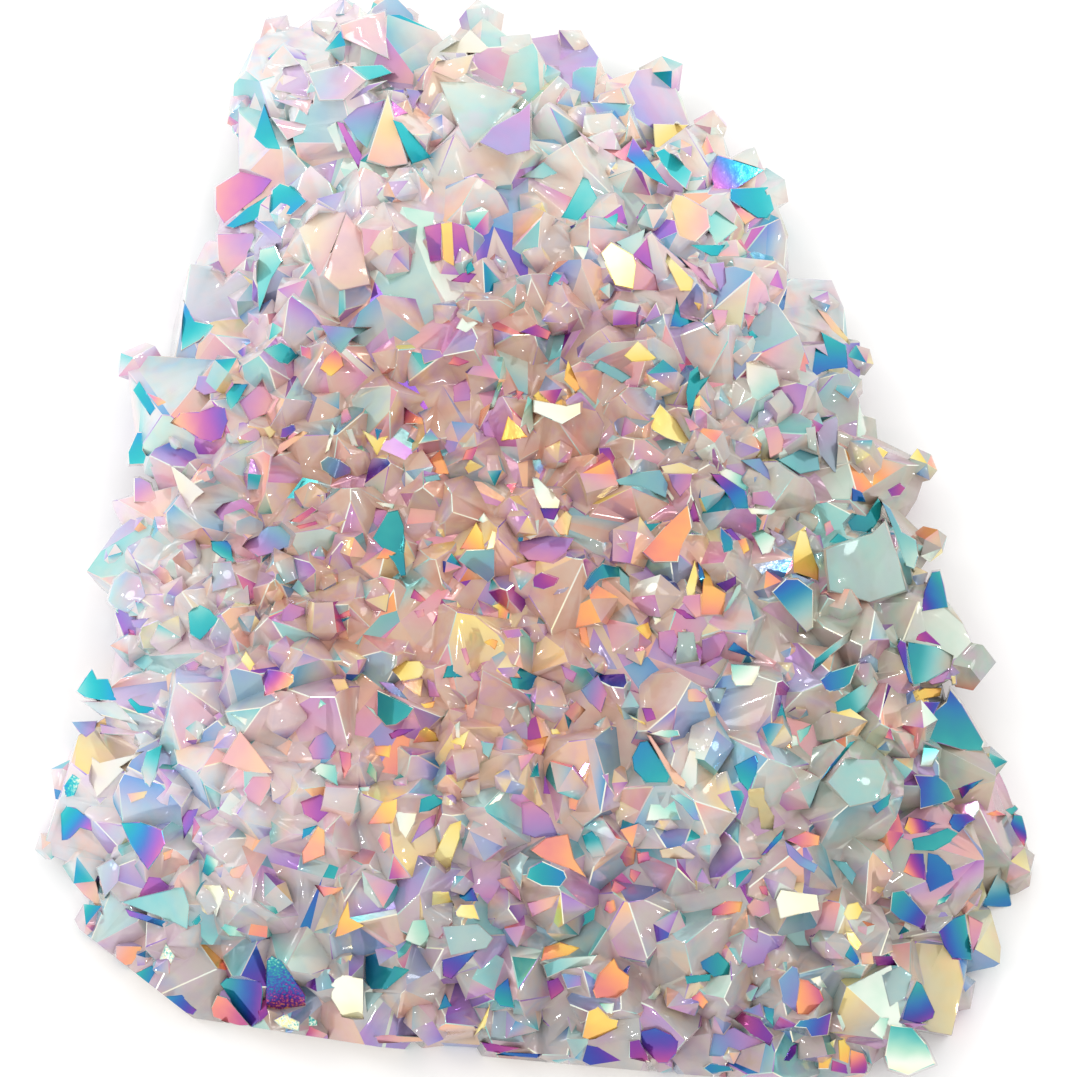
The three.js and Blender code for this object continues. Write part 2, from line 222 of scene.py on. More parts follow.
# A vivid facet is coated whole or cut up: the sizes that decide, the shares of a side where it
# is cut, and how strong the coat starts and ends on each piece.
LEAST_TO_CUT = 8 * MM ** 2
LARGE_FACET = 22 * MM ** 2
WHOLE_SHARE = 0.3
CORNER_SHARE = 0.6
CORNER_PICK = (0.6, 1)
CORNER_CUT = (0.45, 0.95)
FAR_SIDE_SHARE = 0.5
SLIVER_CUT = (0.2, 0.8)
OTHER_SHARE = 0.5
WHOLE_START = (0.3, 1)
WHOLE_END = 1.4
CORNER_RUN = (0.9, 1.6)
SLIVER_RUN = ((0, 0.6), (0.6, 1.4))
REST_RUN = ((-0.6, 0.2), (0.4, 1.0))

# How a coat runs over a facet: how far its fading may turn from its colours, how often these
# are reversed, and the milky tone under it and how that changes.
FADE_TURN = (-1.2, 1.2)
REVERSED_SHARE = 0.4
TONES = (0.35, 0.65)
TONE_RUN = 0.1
TINY = 1e-9

# What is written at the corners of the faces, and what it is where no coat reached.
LAYERS = ["coat_order", "coat_strength", "milk_tone", "bare", "frost"]
BARE = (0.1, 0.0, 0.5, 1.0, 0.0)

# The milky body's tints in each region, partly its own hue and partly painted shade: lightest on
# the left and darker in the middle, on the right and at the front, as if lit from the upper left.
# Where the regions are: a middle and how far they reach, in millimetres.
MILK_AND_SHADE = {
    "left": [(0.0, (0.72, 0.66, 0.88)), (0.25, (0.88, 0.75, 0.86)), (0.5, (0.87, 0.80, 0.80)),
             (0.75, (0.72, 0.83, 0.88)), (1.0, (0.94, 0.75, 0.69))],
    "top": [(0.0, (0.86, 0.68, 0.62)), (0.25, (0.88, 0.71, 0.60)), (0.5, (0.85, 0.77, 0.68)),
            (0.75, (0.72, 0.79, 0.75)), (1.0, (0.88, 0.70, 0.76))],
    "middle": [(0.0, (0.55, 0.31, 0.20)), (0.25, (0.62, 0.37, 0.27)), (0.5, (0.62, 0.43, 0.33)),
               (0.75, (0.56, 0.35, 0.39)), (1.0, (0.68, 0.44, 0.26))],
    "right": [(0.0, (0.47, 0.35, 0.25)), (0.25, (0.49, 0.40, 0.36)), (0.5, (0.48, 0.45, 0.36)),
              (0.75, (0.38, 0.47, 0.39)), (1.0, (0.50, 0.38, 0.43))],
    "front": [(0.0, (0.48, 0.36, 0.30)), (0.25, (0.50, 0.38, 0.43)), (0.5, (0.50, 0.44, 0.41)),
              (0.75, (0.41, 0.42, 0.43)), (1.0, (0.55, 0.42, 0.34))],
}
MILK_AND_SHADE_REGIONS = {
    "top": ((8, 48, 12), (44, 34, 50)), "middle": ((-5, -10, 15), (46, 52, 50)),
    "right": ((60, -22, 8), (62, 80, 60)), "front": ((0, -72, 4), (95, 42, 50)),
}
# The share of the way from a region's rim to its middle from which it is full.
REGION_FULL = 0.6

# The tints of raw quartz, where it broke off.
RAW = [(0.3, (0.58, 0.47, 0.38)), (0.45, (0.72, 0.65, 0.58)), (0.6, (0.62, 0.52, 0.46)),
       (0.7, (0.80, 0.76, 0.72))]

# The patterns in the quartz: how many to the metre, and their finer layers.
WAVER_NOISE = (260.0, 2.0)
GLITTER_NOISE = (3500.0, 2.0)
CLOUD_NOISE = (170.0, 4.0)
HAZE_NOISE = (100.0, 3.0)
PATCH_NOISE = (220.0, 2.0)
RELIEF_NOISE = (900.0, 3.0)

# How far they shift the coat's order and the milky tone, and how high they stand.
WAVER = 0.1
GLITTER = 0.7
CLOUD_SPREAD = 2.2
RELIEF_STRENGTH = 0.12
RELIEF_DEPTH = 0.1 * MM
GLITTER_RELIEF = 20.0

# How fast the deep colours, which are partly painted shade, go as a coat weakens, and how much
# metal a full coat has.
DEEP_AND_SHADED_FALL = 3.0
COAT_METALLIC = 0.5

# The faint tints that lie over the milky body in clouds.
HAZE = [(0.25, (1.0, 0.62, 0.80)), (0.4, (1.0, 0.80, 0.62)), (0.5, (0.80, 0.66, 1.0)),
        (0.6, (1.0, 0.70, 0.66)), (0.72, (0.60, 0.90, 0.95))]
HAZE_THICKNESS = {"From Min": 0.45, "From Max": 0.75, "To Max": 0.75}

# How strongly a milky facet and a pastel one are coated, from one side to the other, and the coats
# of bevelled edges, whose white and coloured lines are painted highlights.
MILKY = [(0, 0), (0, 0.1), (0, 0.2), (-0.2, 0.3)]
PASTEL = [(0.2, 0.55), (0.3, 0.7), (-0.2, 0.8), (0.4, 0.6), (0.1, 0.75)]
PASTEL_SHARE = 0.58
EDGE_HIGHLIGHT_COATS = [("mint white", (0, 0)), ("mint white", (0, 0)), ("white white", (0.8, 1)),
              ("ivory white", (0.6, 1)), ("aqua mint", (0.2, 0.8)), ("indigo violet", (0.2, 0.8))]

# The coats that are usual on the left, in the middle and on the right, and where these are.
MIDDLE_AREA = {"at": (450, 620), "reach": (230, 300)}
RIGHT_FROM_TO = (560, 760)
LEFT_COATS = ["turquoise azure", "aqua azure", "mint turquoise", "aqua turquoise", "azure blue",
              "blue violet", "violet coral", "coral orange", "indigo violet", "white mint"]
MIDDLE_COATS = ["aqua teal", "turquoise azure", "violet coral", "coral orange", "orange yellow",
                "magenta violet", "cream yellow", "coral orange", "blue violet", "coral magenta"]
RIGHT_COATS = ["aqua teal", "turquoise azure", "violet magenta", "azure blue", "coral orange",
               "violet coral", "yellow cream", "indigo violet", "white mint", "magenta coral"]

# The facets whose coat stands out: its colours from the first corner away from it, how strong it
# is, and the corners as seen. Those in white and ivory, and the bright cream ones, are glints:
# painted highlights.
STRENGTHS = {"full": (1.3, 1.3), "soft": (0.62, 0.62), "faint": (0.4, 0.4), "fading": (1.3, 0.1),
             "frosted": (1.1, 1.1)}
COATED_FACETS = """
azure turquoise full 264,104 254,137 266,148 280,149
violet indigo faint 275,90 284,68 300,65 309,80 308,97
violet coral faint 273,100 312,100 307,115 298,108
violet coral faint 271,117 306,125 303,133 287,140
turquoise coral faint 308,73 345,64 366,80 343,100 320,100
aqua turquoise full 343,67 382,65 392,73 366,81 350,78
violet indigo soft 388,80 367,92 350,100 367,85
cream coral soft 388,94 394,118 408,164 388,167 367,160
violet turquoise soft 358,108 385,99 367,148 358,140 343,120
turquoise teal full 393,120 402,123 431,157 412,164 400,138
violet magenta full 391,100 408,113 395,117
blue violet soft 405,88 423,91 413,108
magenta violet full 337,122 343,123 362,155 358,167 350,153
mint white soft 327,128 336,122 343,150 338,152
aqua turquoise soft 440,30 452,26 444,40
ivory white soft 440,52 460,41 470,30 489,48 480,53
coral yellow faint 433,71 438,62 473,55 467,73 455,80
coral magenta faint 340,25 385,11 386,40 388,58 343,38
coral violet full 216,187 240,172 272,180 262,193 224,223 216,210
azure turquoise full 226,226 247,208 267,196 265,216 234,228
turquoise azure full 280,183 294,188 307,201 291,215 270,213 272,190
coral violet soft 218,261 217,234 253,233 255,237 245,259 226,277
cream coral faint 299,229 319,214 346,212 336,240 319,277
coral orange faint 346,214 361,233 365,262 370,284 340,290 324,276
mint turquoise full 260,250 275,246 282,261 271,279 259,312 257,279
blue aqua full 184,302 195,321 214,325 200,340 181,351
aqua teal full 264,350 281,342 292,348 298,356 288,365 279,362
magenta coral full 300,345 310,348 311,359 301,356
magenta yellow full 335,349 342,357 344,366 331,377 320,369 324,360
violet turquoise soft 321,325 367,329 352,339 341,352 331,342
cream yellow faint 380,232 392,226 393,250 386,261 370,248
magenta violet full 424,227 441,223 441,260 430,262
yellow orange full 441,224 452,222 454,266 443,260
magenta violet full 452,222 464,226 470,254 455,264
turquoise teal full 465,265 471,261 475,270 467,274
magenta violet full 451,281 464,272 476,274 469,283
white white full 456,328 463,315 478,323 466,332
turquoise azure full 133,390 139,381 146,392 155,408 150,415 142,404
magenta orange full 147,393 160,398 167,402 158,406
orange indigo full 172,423 180,413 200,412 214,407 225,408 228,420 222,438 212,442 198,438 186,430
azure aqua full 248,384 234,384 226,394 227,402 231,409 238,402
violet coral soft 240,402 262,382 272,400 266,414 250,420
azure turquoise full 137,432 142,432 143,450 151,464 129,465 128,452
indigo coral soft 134,478 140,477 151,483 156,498 150,502 134,502
ivory white soft 171,466 184,475 204,492 196,498 188,508 178,488
violet magenta soft 216,512 224,504 243,498 253,506 256,516 246,520 222,521
teal magenta soft 280,526 290,536 288,546 276,552 258,557 244,546 254,536 268,526
coral magenta full 290,521 312,506 318,510 300,522
coral magenta full 296,526 316,521 318,524 300,529
teal indigo soft 320,462 328,456 340,460 352,468 350,474 336,479 322,470
cream yellow full 362,430 377,438 388,436 377,455
azure teal full 374,428 382,430 377,444
ivory mint full 325,453 332,424 335,428 329,450
coral magenta soft 340,410 348,408 351,418 342,423
mint white soft 346,430 352,429 358,446 352,445
turquoise teal full 388,512 398,510 404,526 404,552 406,575 401,576 394,562 384,550 373,538
magenta violet soft 376,508 389,511 378,527 373,522
ivory mint full 376,502 394,504 394,509 384,507
magenta orange full 405,408 422,418 423,424 404,424
coral orange full 384,548 396,553 388,559 376,559
coral orange soft 275,456 280,444 303,431 307,433 282,452
cream yellow soft 263,428 270,426 276,432 270,439
violet indigo full 280,438 282,428 294,424 295,430 286,438
indigo magenta soft 198,376 228,377 233,380 218,392 204,395 195,389
blue aqua full 227,541 211,541 212,550 222,558 233,561 231,546
violet coral full 520,332 536,324 551,332 548,340 536,336
blue violet soft 420,348 440,350 444,357 424,364
coral magenta full 448,364 454,356 471,362 458,366
magenta violet soft 453,386 466,379 471,384 470,400 454,402
yellow orange full 501,441 508,416 520,428 528,437
white ivory full 534,412 534,400 566,406 581,402 581,413 562,424 552,420
yellow orange full 533,396 548,382 560,390 562,404 540,401
yellow orange full 568,360 580,388 576,392 564,380
aqua white full 528,396 532,400 534,428 530,434 520,428 526,424
coral magenta full 516,390 524,392 518,400
mint turquoise soft 490,408 498,382 503,378 502,386 494,406
cream yellow full 638,341 656,358 654,360 632,362 624,356
turquoise teal soft 594,368 600,360 620,370 631,377 622,383 606,374
aqua indigo soft 532,460 540,459 544,468 540,474 535,470
mint ivory full 532,478 538,478 552,492 560,500 558,508 542,508 536,496
indigo violet full 540,508 560,508 554,520 544,518
ivory mint soft 524,536 532,520 539,520 538,534 530,540
coral cream soft 553,526 566,510 572,516 568,535 560,535
indigo magenta soft 548,536 574,538 566,552 552,562 528,560 520,552 520,542
turquoise azure soft 466,550 495,549 495,576 488,583 478,575 468,568 458,560
coral yellow full 460,549 476,522 482,532 484,549
mint ivory full 478,520 484,512 488,520 482,523
cream yellow soft 486,550 492,530 496,532 494,548
coral orange full 422,467 440,450 449,474 440,474
turquoise teal soft 424,477 438,474 441,480 426,482
indigo mint soft 430,428 440,440 418,444
yellow cream full 464,468 470,460 484,467 468,474
coral magenta full 466,450 478,446 472,460 462,460
violet magenta soft 482,424 488,420 496,438 484,436
magenta coral full 504,484 518,482 512,493
violet coral full 598,448 610,447 616,458 610,474 604,480 600,460
azure teal full 594,472 602,482 594,496 586,492 586,474
turquoise teal soft 616,480 640,472 660,470 668,484 666,498 640,486 620,485
cream yellow soft 660,466 680,462 698,470 696,473 664,473
indigo magenta soft 668,474 692,474 690,486 680,497 672,486
mint ivory soft 662,480 674,498 672,502 662,486
yellow cream full 651,418 660,404 676,420 688,440 684,444 666,438 652,430
magenta coral soft 683,416 692,420 700,428 690,432
coral orange full 642,552 654,562 678,562 680,550 692,528 688,504 665,526
turquoise teal full 640,524 662,522 640,543
violet magenta full 686,522 694,500 700,522
blue turquoise full 671,326 677,298 681,317 694,321 681,327
turquoise teal full 697,318 719,336 714,335
mint turquoise faint 440,82 480,83 520,98 512,107 470,148 450,107
violet indigo soft 520,112 530,103 530,150 507,155 480,142 493,127
violet aqua soft 572,90 573,72 582,67 597,67 593,102 573,102
violet turquoise soft 602,123 590,102 632,104 625,115
coral magenta full 604,149 620,150 633,139 640,165 620,159
violet turquoise full 633,138 669,187 652,179 627,157
cream yellow full 653,124 688,125 655,150
teal aqua full 655,152 664,148 692,172 686,189 670,175
turquoise aqua full 562,217 583,178 588,180 597,198 590,208 578,220
mint turquoise soft 523,177 543,162 557,173 543,179
violet coral faint 577,130 600,147 598,153 587,143
orange magenta full 702,147 707,136 714,152 705,155
magenta turquoise full 712,180 712,169 718,155 764,170 736,189 714,188
azure turquoise full 731,199 731,189 768,187 774,209 767,218 758,218
orange magenta full 745,225 731,201 756,218
yellow coral soft 671,207 675,194 682,195 707,209 710,227 695,242 680,235
turquoise mint full 687,197 716,211 738,227 718,245 711,216
turquoise teal full 691,245 725,245 718,256 711,256
teal aqua full 618,207 618,218 615,228 603,218
magenta violet full 644,204 655,213 644,221 636,218
aqua mint soft 616,242 645,229 642,245 633,255
cream yellow full 601,253 611,242 633,255 636,264 633,289 615,285
coral magenta soft 636,260 655,275 658,290 633,290
magenta violet full 647,238 653,271 633,255
cream yellow full 666,262 668,255 693,280 691,291 680,291
violet indigo soft 710,264 724,262 726,282 720,291
coral violet soft 678,256 702,269 718,291 709,287
magenta coral soft 711,309 728,310 725,324 718,331
yellow orange full 694,302 702,304 699,311
white indigo soft 796,227 824,260 824,280 795,276
azure violet full 795,241 795,264 793,273 782,264 775,258
violet indigo soft 656,302 661,315 642,324
magenta coral full 744,313 756,316 748,330
turquoise teal full 748,332 752,330 758,337 750,340
coral yellow soft 817,309 827,313 848,338 847,342 832,330
turquoise blue full 821,332 846,345 848,368 840,370 828,356 828,370 812,377 816,348
turquoise teal full 698,366 710,376 700,380 696,396 691,416 688,408 686,392 690,372
ivory aqua soft 746,362 760,362 776,370 780,386 758,400 752,396 747,380
azure indigo faint 758,412 770,408 776,412 768,424 758,428
indigo azure faint 816,426 836,416 838,420 836,472 834,472 820,454
mint aqua faint 806,428 815,427 817,452 808,448
magenta coral soft 764,428 778,426 784,440 782,452 770,458 768,444
teal indigo soft 740,460 760,458 768,470 770,480 752,468
turquoise teal soft 778,460 800,450 818,456 820,470 800,474
cream yellow full 868,452 880,447 888,452 880,462 872,467
blue azure full 852,488 862,492 866,502 852,501
violet magenta full 888,490 900,483 906,488 900,496 892,497
turquoise teal full 828,543 838,533 852,542
teal turquoise full 848,522 856,514 866,516 878,498 882,504 880,518 870,532 852,530
turquoise aqua faint 826,550 850,540 872,534 884,522 896,552 906,590 870,602 830,590
azure mint soft 882,502 890,508 902,532 916,540 918,556 914,569 906,566 898,540
white aqua full 720,472 726,468 748,478 746,489 736,486 726,480
magenta teal full 711,474 720,474 746,491 748,508 736,508 728,496
magenta violet soft 752,492 768,490 776,502 772,508 752,504
ivory mint full 748,508 776,510 772,515 752,514
coral yellow full 738,540 746,538 750,550 744,554
azure teal full 720,526 732,538 734,550 724,552 720,538
indigo violet full 724,530 731,528 741,540 736,540
aqua white full 752,534 762,530 776,538 770,552 762,555 758,546
violet indigo faint 768,528 784,536 786,542 778,546
cream orange full 800,530 806,531 811,548 818,568 818,580 794,572 794,550
coral magenta soft 824,524 830,520 834,530 826,536
yellow cream full 695,560 698,576 694,598 688,596 686,588
blue teal full 698,562 702,568 706,580 704,592 699,578
yellow coral full 704,570 710,576 714,586 726,593 722,614 702,614 702,594
magenta coral soft 684,596 700,594 701,616 696,618 682,602
magenta violet full 672,608 684,610 696,619 686,619
indigo violet full 716,584 728,580 736,576 736,584 726,592
aqua mint soft 724,612 736,586 741,583 742,589 729,608
blue aqua fading 786,579 798,579 813,590 813,628 806,632 790,614 772,592
azure blue full 728,650 734,642 756,658 740,654
aqua ivory full 731,664 760,666 758,674 752,685 736,686 732,680
teal aqua fading 812,672 816,658 836,642 852,630 848,642 830,656
blue turquoise full 820,680 830,672 858,663 850,684 844,688 830,692 826,690
teal mint fading 837,708 836,702 874,677 878,684 864,710 856,714 838,714
indigo azure faint 860,660 870,654 878,660 878,672 868,674 862,670
coral magenta full 884,738 890,728 895,741
violet azure full 897,646 900,640 906,643 913,684 909,682 908,668
teal aqua fading 908,650 908,642 936,646 952,656 950,668 926,682 914,684
magenta violet full 916,640 918,634 926,631 942,646
magenta violet soft 928,682 938,676 950,670 944,682 932,685
yellow orange full 916,692 924,688 942,688 940,696 920,700
yellow orange soft 951,676 956,675 957,684 952,685
violet turquoise full 958,686 963,670 968,671 975,690 983,703 978,707 972,706 960,693
blue turquoise full 946,702 950,689 961,703 984,742 981,750 962,750 936,742 913,727 926,718
magenta blue full 917,702 940,702 932,718 926,713
turquoise aqua fading 924,744 940,750 932,766 920,766
indigo turquoise full 920,790 914,775 938,776 947,783 955,798 948,802 920,809
magenta turquoise full 958,788 968,784 984,779 970,790 962,799
azure turquoise full 872,806 891,793 888,806 877,814
blue turquoise full 821,780 830,766 850,742 855,741 836,764
turquoise aqua faint 828,782 845,759 878,760 886,774 878,800 850,806
blue turquoise full 755,755 758,762 756,774 748,791 740,782 734,766
yellow cream soft 748,790 764,788 765,800 774,816 772,828 761,828 758,808 750,807
azure turquoise full 640,742 648,741 660,760 669,776 667,782 646,782 634,770 632,757
coral orange soft 647,735 651,736 672,767 686,782 684,787 674,783
mint ivory soft 681,776 690,750 698,752 697,784 690,790 685,783
white aqua full 650,734 662,730 678,730 680,736 666,738
white aqua full 646,821 650,804 660,804 664,808 674,801 681,820
mint indigo soft 670,796 680,794 694,802 700,821 694,820 682,806
violet magenta full 642,708 652,708 656,719 646,722
cream yellow full 628,714 644,722 646,725 632,719
magenta violet soft 658,632 674,630 678,640 672,658 659,648
teal aqua faint 678,632 694,632 698,660 676,664
violet magenta soft 702,640 724,632 728,640 720,656 702,664
yellow orange full 636,628 648,622 652,634 648,640
white ivory full 652,616 658,612 661,620 655,625
teal turquoise full 776,721 782,703 790,732 788,738 779,730
ivory mint full 791,734 797,736 799,746 792,746
mint aqua full 797,731 812,724 808,734 800,743
coral orange full 769,738 777,730 787,738 792,748 778,746
orange magenta soft 688,702 688,690 696,688 708,696 702,702
azure teal faint 708,688 726,688 720,704 710,700
coral orange faint 890,574 898,562 898,570 893,577
violet turquoise full 924,592 922,611 948,607 944,586 940,571 932,572
magenta violet full 930,566 936,563 941,568 938,571 931,571
cream orange full 945,590 952,597 953,606 949,603
orange magenta full 987,814 996,810 1006,815 993,816
aqua turquoise full 1006,810 1015,805 1019,809 1012,815
turquoise coral full 1022,816 1026,830 1027,838 1024,846 1016,834 1011,824 1014,814
yellow azure full 904,828 908,817 922,819 936,823 926,832 911,834
teal turquoise full 929,835 948,828 958,833 950,842 934,851 914,850 912,838
azure violet full 952,828 949,822 953,814 967,814 976,819 967,824 959,832
orange blue full 903,872 910,853 924,853 926,880 912,877
blue azure full 926,880 928,853 938,855 950,866 954,880 930,892
turquoise violet full 892,892 904,890 916,903 927,916 924,930 900,920 890,911
white azure full 936,906 938,900 952,893 946,902
azure turquoise fading 998,907 983,906 990,888 1000,868 1008,886 1012,907
indigo turquoise full 944,946 939,932 954,918 965,914 969,940 972,960 952,958
orange violet full 940,938 947,948 962,960 952,959
coral magenta soft 968,915 983,923 979,938 973,953 970,934
turquoise aqua faint 882,975 900,966 912,975 905,998 890,1006
turquoise violet full 917,981 922,984 935,1012 933,1018 920,1024 903,1019 908,1000
magenta violet soft 903,1023 928,1024 910,1029
turquoise ivory full 912,1028 926,1044 935,1064 908,1075 889,1069 885,1056 891,1025
white aqua full 870,1030 880,1017 889,1018 883,1040
cream orange full 826,1044 836,1038 831,1060 829,1069 818,1069 818,1058
yellow orange full 838,1040 844,1039 850,1048 848,1064 839,1060
orange violet full 850,1049 864,1053 868,1064 866,1074 850,1074
magenta violet full 832,1060 846,1065 848,1074 831,1071
teal violet full 794,1027 800,1020 818,1018 832,1012 828,1035 811,1037 806,1028
indigo violet full 784,1060 791,1046 797,1044 796,1053 790,1061
orange magenta full 796,1000 799,980 808,981 820,990 824,1000 808,1014 797,1014
ivory mint full 811,979 820,976 827,988 818,987
cream yellow full 844,914 848,904 858,902 863,910 858,919 848,920
cream yellow full 846,932 854,932 862,944 857,950 848,942
turquoise blue full 842,946 848,940 858,957 860,962 856,965 845,956
coral orange soft 861,953 872,952 874,964 862,964
magenta violet full 875,957 892,956 896,965 877,966
white ivory full 776,900 781,890 800,893 817,895 819,910 799,914 780,919
indigo azure soft 785,841 792,846 803,857 818,865 814,873 800,866 788,855
magenta orange full 787,840 806,831 820,836 819,845 802,847
turquoise violet full 784,829 782,838 766,854 761,855 776,836
yellow orange soft 872,890 878,886 885,888 880,894
turquoise teal soft 832,860 846,862 856,874 852,885 844,875
teal aqua fading 592,831 599,838 606,856 593,858 586,849 582,835
magenta orange full 620,857 632,838 636,851 634,864 626,867
coral magenta full 637,853 648,852 650,860 638,864
coral magenta full 629,877 630,868 642,872 634,884
coral magenta full 611,890 614,880 627,888 617,893
magenta orange full 604,910 607,901 614,900 616,910 610,914
yellow orange faint 660,850 680,846 695,856 693,859 662,858
magenta orange full 712,909 726,901 742,902 740,912 727,915 713,915
coral magenta soft 747,906 754,898 768,902 770,913 760,918 748,914
magenta violet soft 741,930 759,928 757,943 751,940
coral magenta full 758,886 768,886 768,896 762,894
azure turquoise full 701,962 718,952 730,964 728,974 714,977 703,969
teal turquoise full 685,976 711,974 710,981 687,984
azure indigo soft 778,980 792,966 798,968 800,982 796,1012 783,1002
azure aqua faint 753,997 766,978 771,977 770,990 757,998
magenta violet full 735,1019 742,1012 760,1019 774,1036 769,1045 750,1034
azure turquoise full 763,1006 774,1009 773,1026 766,1019
azure violet soft 743,1011 760,1003 764,1018
azure magenta soft 710,1055 714,1034 734,1027 750,1036 765,1041 742,1050 729,1057
blue magenta full 655,1028 670,1034 678,1041 676,1054 667,1063 658,1063 642,1045 641,1031
violet magenta full 629,1041 639,1039 650,1062 629,1058
blue violet full 577,1059 577,1050 586,1044 597,1046 623,1061 590,1066
azure teal full 703,1068 710,1063 730,1066 733,1071 711,1074
coral orange full 596,998 593,990 600,973 614,958 619,968 629,976 628,988 616,997
mint ivory full 648,998 660,984 661,992 655,1000
magenta orange full 690,998 700,992 708,1002 703,1009
orange yellow full 581,1041 588,1011 598,1007 609,1018 619,1020 617,1028 596,1038
aqua white full 599,1003 614,1003 612,1014 604,1011
azure turquoise full 366,957 378,953 386,964 409,970 386,989 371,989 366,980
turquoise aqua faint 365,992 383,993 367,1012
magenta orange soft 374,1036 390,1035 425,1037 423,1042 380,1043
white ivory full 331,984 342,975 363,979 363,1018 342,1016 331,998
teal azure full 438,1010 445,993 452,1006
blue turquoise full 508,978 514,1008 500,1006 494,998 496,988
azure aqua faint 493,1011 511,1011 525,1043 491,1039
violet magenta full 481,1042 520,1048 500,1053 487,1051
azure blue full 496,1055 505,1052 540,1054 537,1058
cream yellow full 474,1036 488,1016 490,1004 485,1026
violet azure full 443,976 442,960 454,957 477,951 464,966 451,979
turquoise aqua faint 443,927 478,924 493,938 486,948 451,955
white aqua full 405,940 412,921 430,919 431,930 425,948 411,943
cream yellow full 432,906 433,892 449,891 453,905 442,913
cream yellow full 455,912 461,904 474,904 480,920 456,916
teal indigo full 459,897 462,887 473,888 478,901 466,901
cream yellow full 434,856 442,838 450,825 461,821 460,838 450,866 446,868
white ivory full 396,815 398,812 417,813 415,822 406,839 400,831
coral yellow full 368,824 382,803 397,799 397,810 393,823
turquoise teal full 434,794 445,802 430,811 419,813 421,799
magenta indigo soft 437,813 434,826 424,834 411,843 421,822
magenta orange full 377,840 382,831 390,835 390,846 384,853
cream yellow full 343,795 348,801 357,820 353,823 345,808
coral orange full 531,850 546,838 568,834 574,858 586,877 566,867 542,858
turquoise azure full 526,878 529,868 542,861 564,871 567,878 560,887 542,886
aqua turquoise faint 507,860 520,852 529,857 523,866 521,889 511,872
magenta indigo soft 532,802 549,814 557,835 535,838 523,833 522,804
coral magenta soft 497,880 510,876 519,890 521,901 507,890
magenta orange soft 527,903 559,895 551,908 532,917
coral yellow full 541,961 544,947 560,942 579,948 568,955
turquoise white soft 543,965 560,958 597,955 590,965 566,969 547,978
violet magenta full 547,981 558,978 565,990 551,1000
azure violet soft 561,973 580,976 581,986 567,989
turquoise magenta full 61,814 67,806 76,808 90,820 92,831 80,828 70,839 62,840
turquoise magenta full 121,823 140,822 162,830 165,844 161,852 148,870 140,859 129,842
orange coral full 163,853 173,849 171,858 164,861
magenta violet full 137,899 149,877 160,878 169,886 165,893
turquoise aqua soft 121,902 140,897 183,887 189,906 187,929 171,921 129,905
violet azure full 125,909 140,913 167,922 163,927 148,922 129,916
turquoise teal full 192,922 200,914 202,920 196,928
magenta orange full 176,929 190,933 183,939 176,936
violet indigo full 182,818 188,810 198,809 192,826 184,838
magenta violet soft 200,815 216,807 219,812 208,823
azure white full 202,872 206,854 218,861 218,868 208,876
magenta orange soft 72,867 92,866 98,890 99,907 84,895 68,876
turquoise violet faint 97,868 112,859 120,867 118,882 105,896
ivory white full 203,885 220,885 224,894 216,917 208,901
cream yellow full 227,887 234,892 230,900
orange coral soft 227,870 249,863 240,878 232,878
turquoise aqua fading 284,909 276,915 266,908 254,899 264,904
aqua white full 221,928 225,924 244,930 247,937 229,936
teal azure full 250,934 262,934 258,941
orange yellow full 335,937 340,918 348,901 350,918 364,926 343,935
turquoise violet full 220,984 226,978 248,980 261,982 263,992 260,1019 252,1027 236,1008
coral magenta full 211,1008 217,995 227,998 250,1026 238,1026 213,1017
magenta violet full 256,1001 266,999 268,1014 260,1022
turquoise magenta frosted 272,956 281,961 306,996 305,1005 280,1009 265,1006 267,960
straw white frosted 273,1020 284,1014 300,1022 299,1031 281,1027
aqua white frosted 309,1016 317,1020 319,1031 309,1029
azure violet full 111,968 120,961 128,969 139,986 115,982
turquoise azure full 136,973 152,965 155,972 147,986 142,986
teal violet full 161,997 182,995 190,1004 197,1010 193,1015 165,1006
ivory mint frosted 158,963 166,943 175,956 167,971
magenta violet full 301,802 320,795 333,800 335,806 318,822 304,814
azure teal full 302,839 303,829 317,825 310,834
orange coral full 318,826 324,831 325,855 303,864 302,852
magenta orange full 315,885 343,888 335,894 324,897
turquoise violet faint 108,600 114,580 126,571 140,577 146,596 128,613 114,607
turquoise aqua full 108,598 113,589 118,606 127,609 118,613
magenta orange soft 151,572 160,565 168,571 175,583 166,586
turquoise violet faint 213,563 231,562 237,585 212,592
teal aqua full 200,640 208,632 218,620 210,610 200,605 188,613 190,634
turquoise violet faint 219,617 231,630 228,644 215,649 209,636
ivory white full 139,634 144,626 158,620 167,627 164,640 155,649 143,649
violet indigo soft 131,620 149,618 140,628 134,627
magenta violet full 128,629 134,631 138,644 135,645
azure aqua soft 131,655 148,655 153,661 144,671 133,662
orange magenta full 103,622 107,636 100,654 97,636
aqua azure full 77,691 86,677 92,669 97,679 108,679 116,700 100,700 85,697
aqua mint faint 82,701 115,702 138,725 101,715
turquoise azure full 127,700 131,698 140,705 156,708 147,713 138,713
azure violet soft 72,722 97,721 95,730 86,737 79,732
violet coral faint 100,724 139,732 135,736 101,734
ivory white soft 92,757 100,763 120,767 141,753 124,770 114,780 97,797 91,780
turquoise aqua fading 162,745 156,776 150,787 145,783 141,770 147,751
coral yellow soft 127,794 147,791 145,798 131,803
violet indigo faint 95,798 107,797 100,805
azure white frosted 64,786 72,774 81,779 74,796 66,797
violet magenta soft 185,664 194,660 200,664 196,670 188,670
cream yellow full 241,660 246,651 255,664 250,671
indigo orange full 268,669 282,671 293,675 294,682 287,688 265,695 263,678
violet magenta soft 281,621 283,610 290,603 305,608 305,614 292,621
white aqua full 276,570 291,568 291,573
mint ivory full 273,577 282,596 277,594
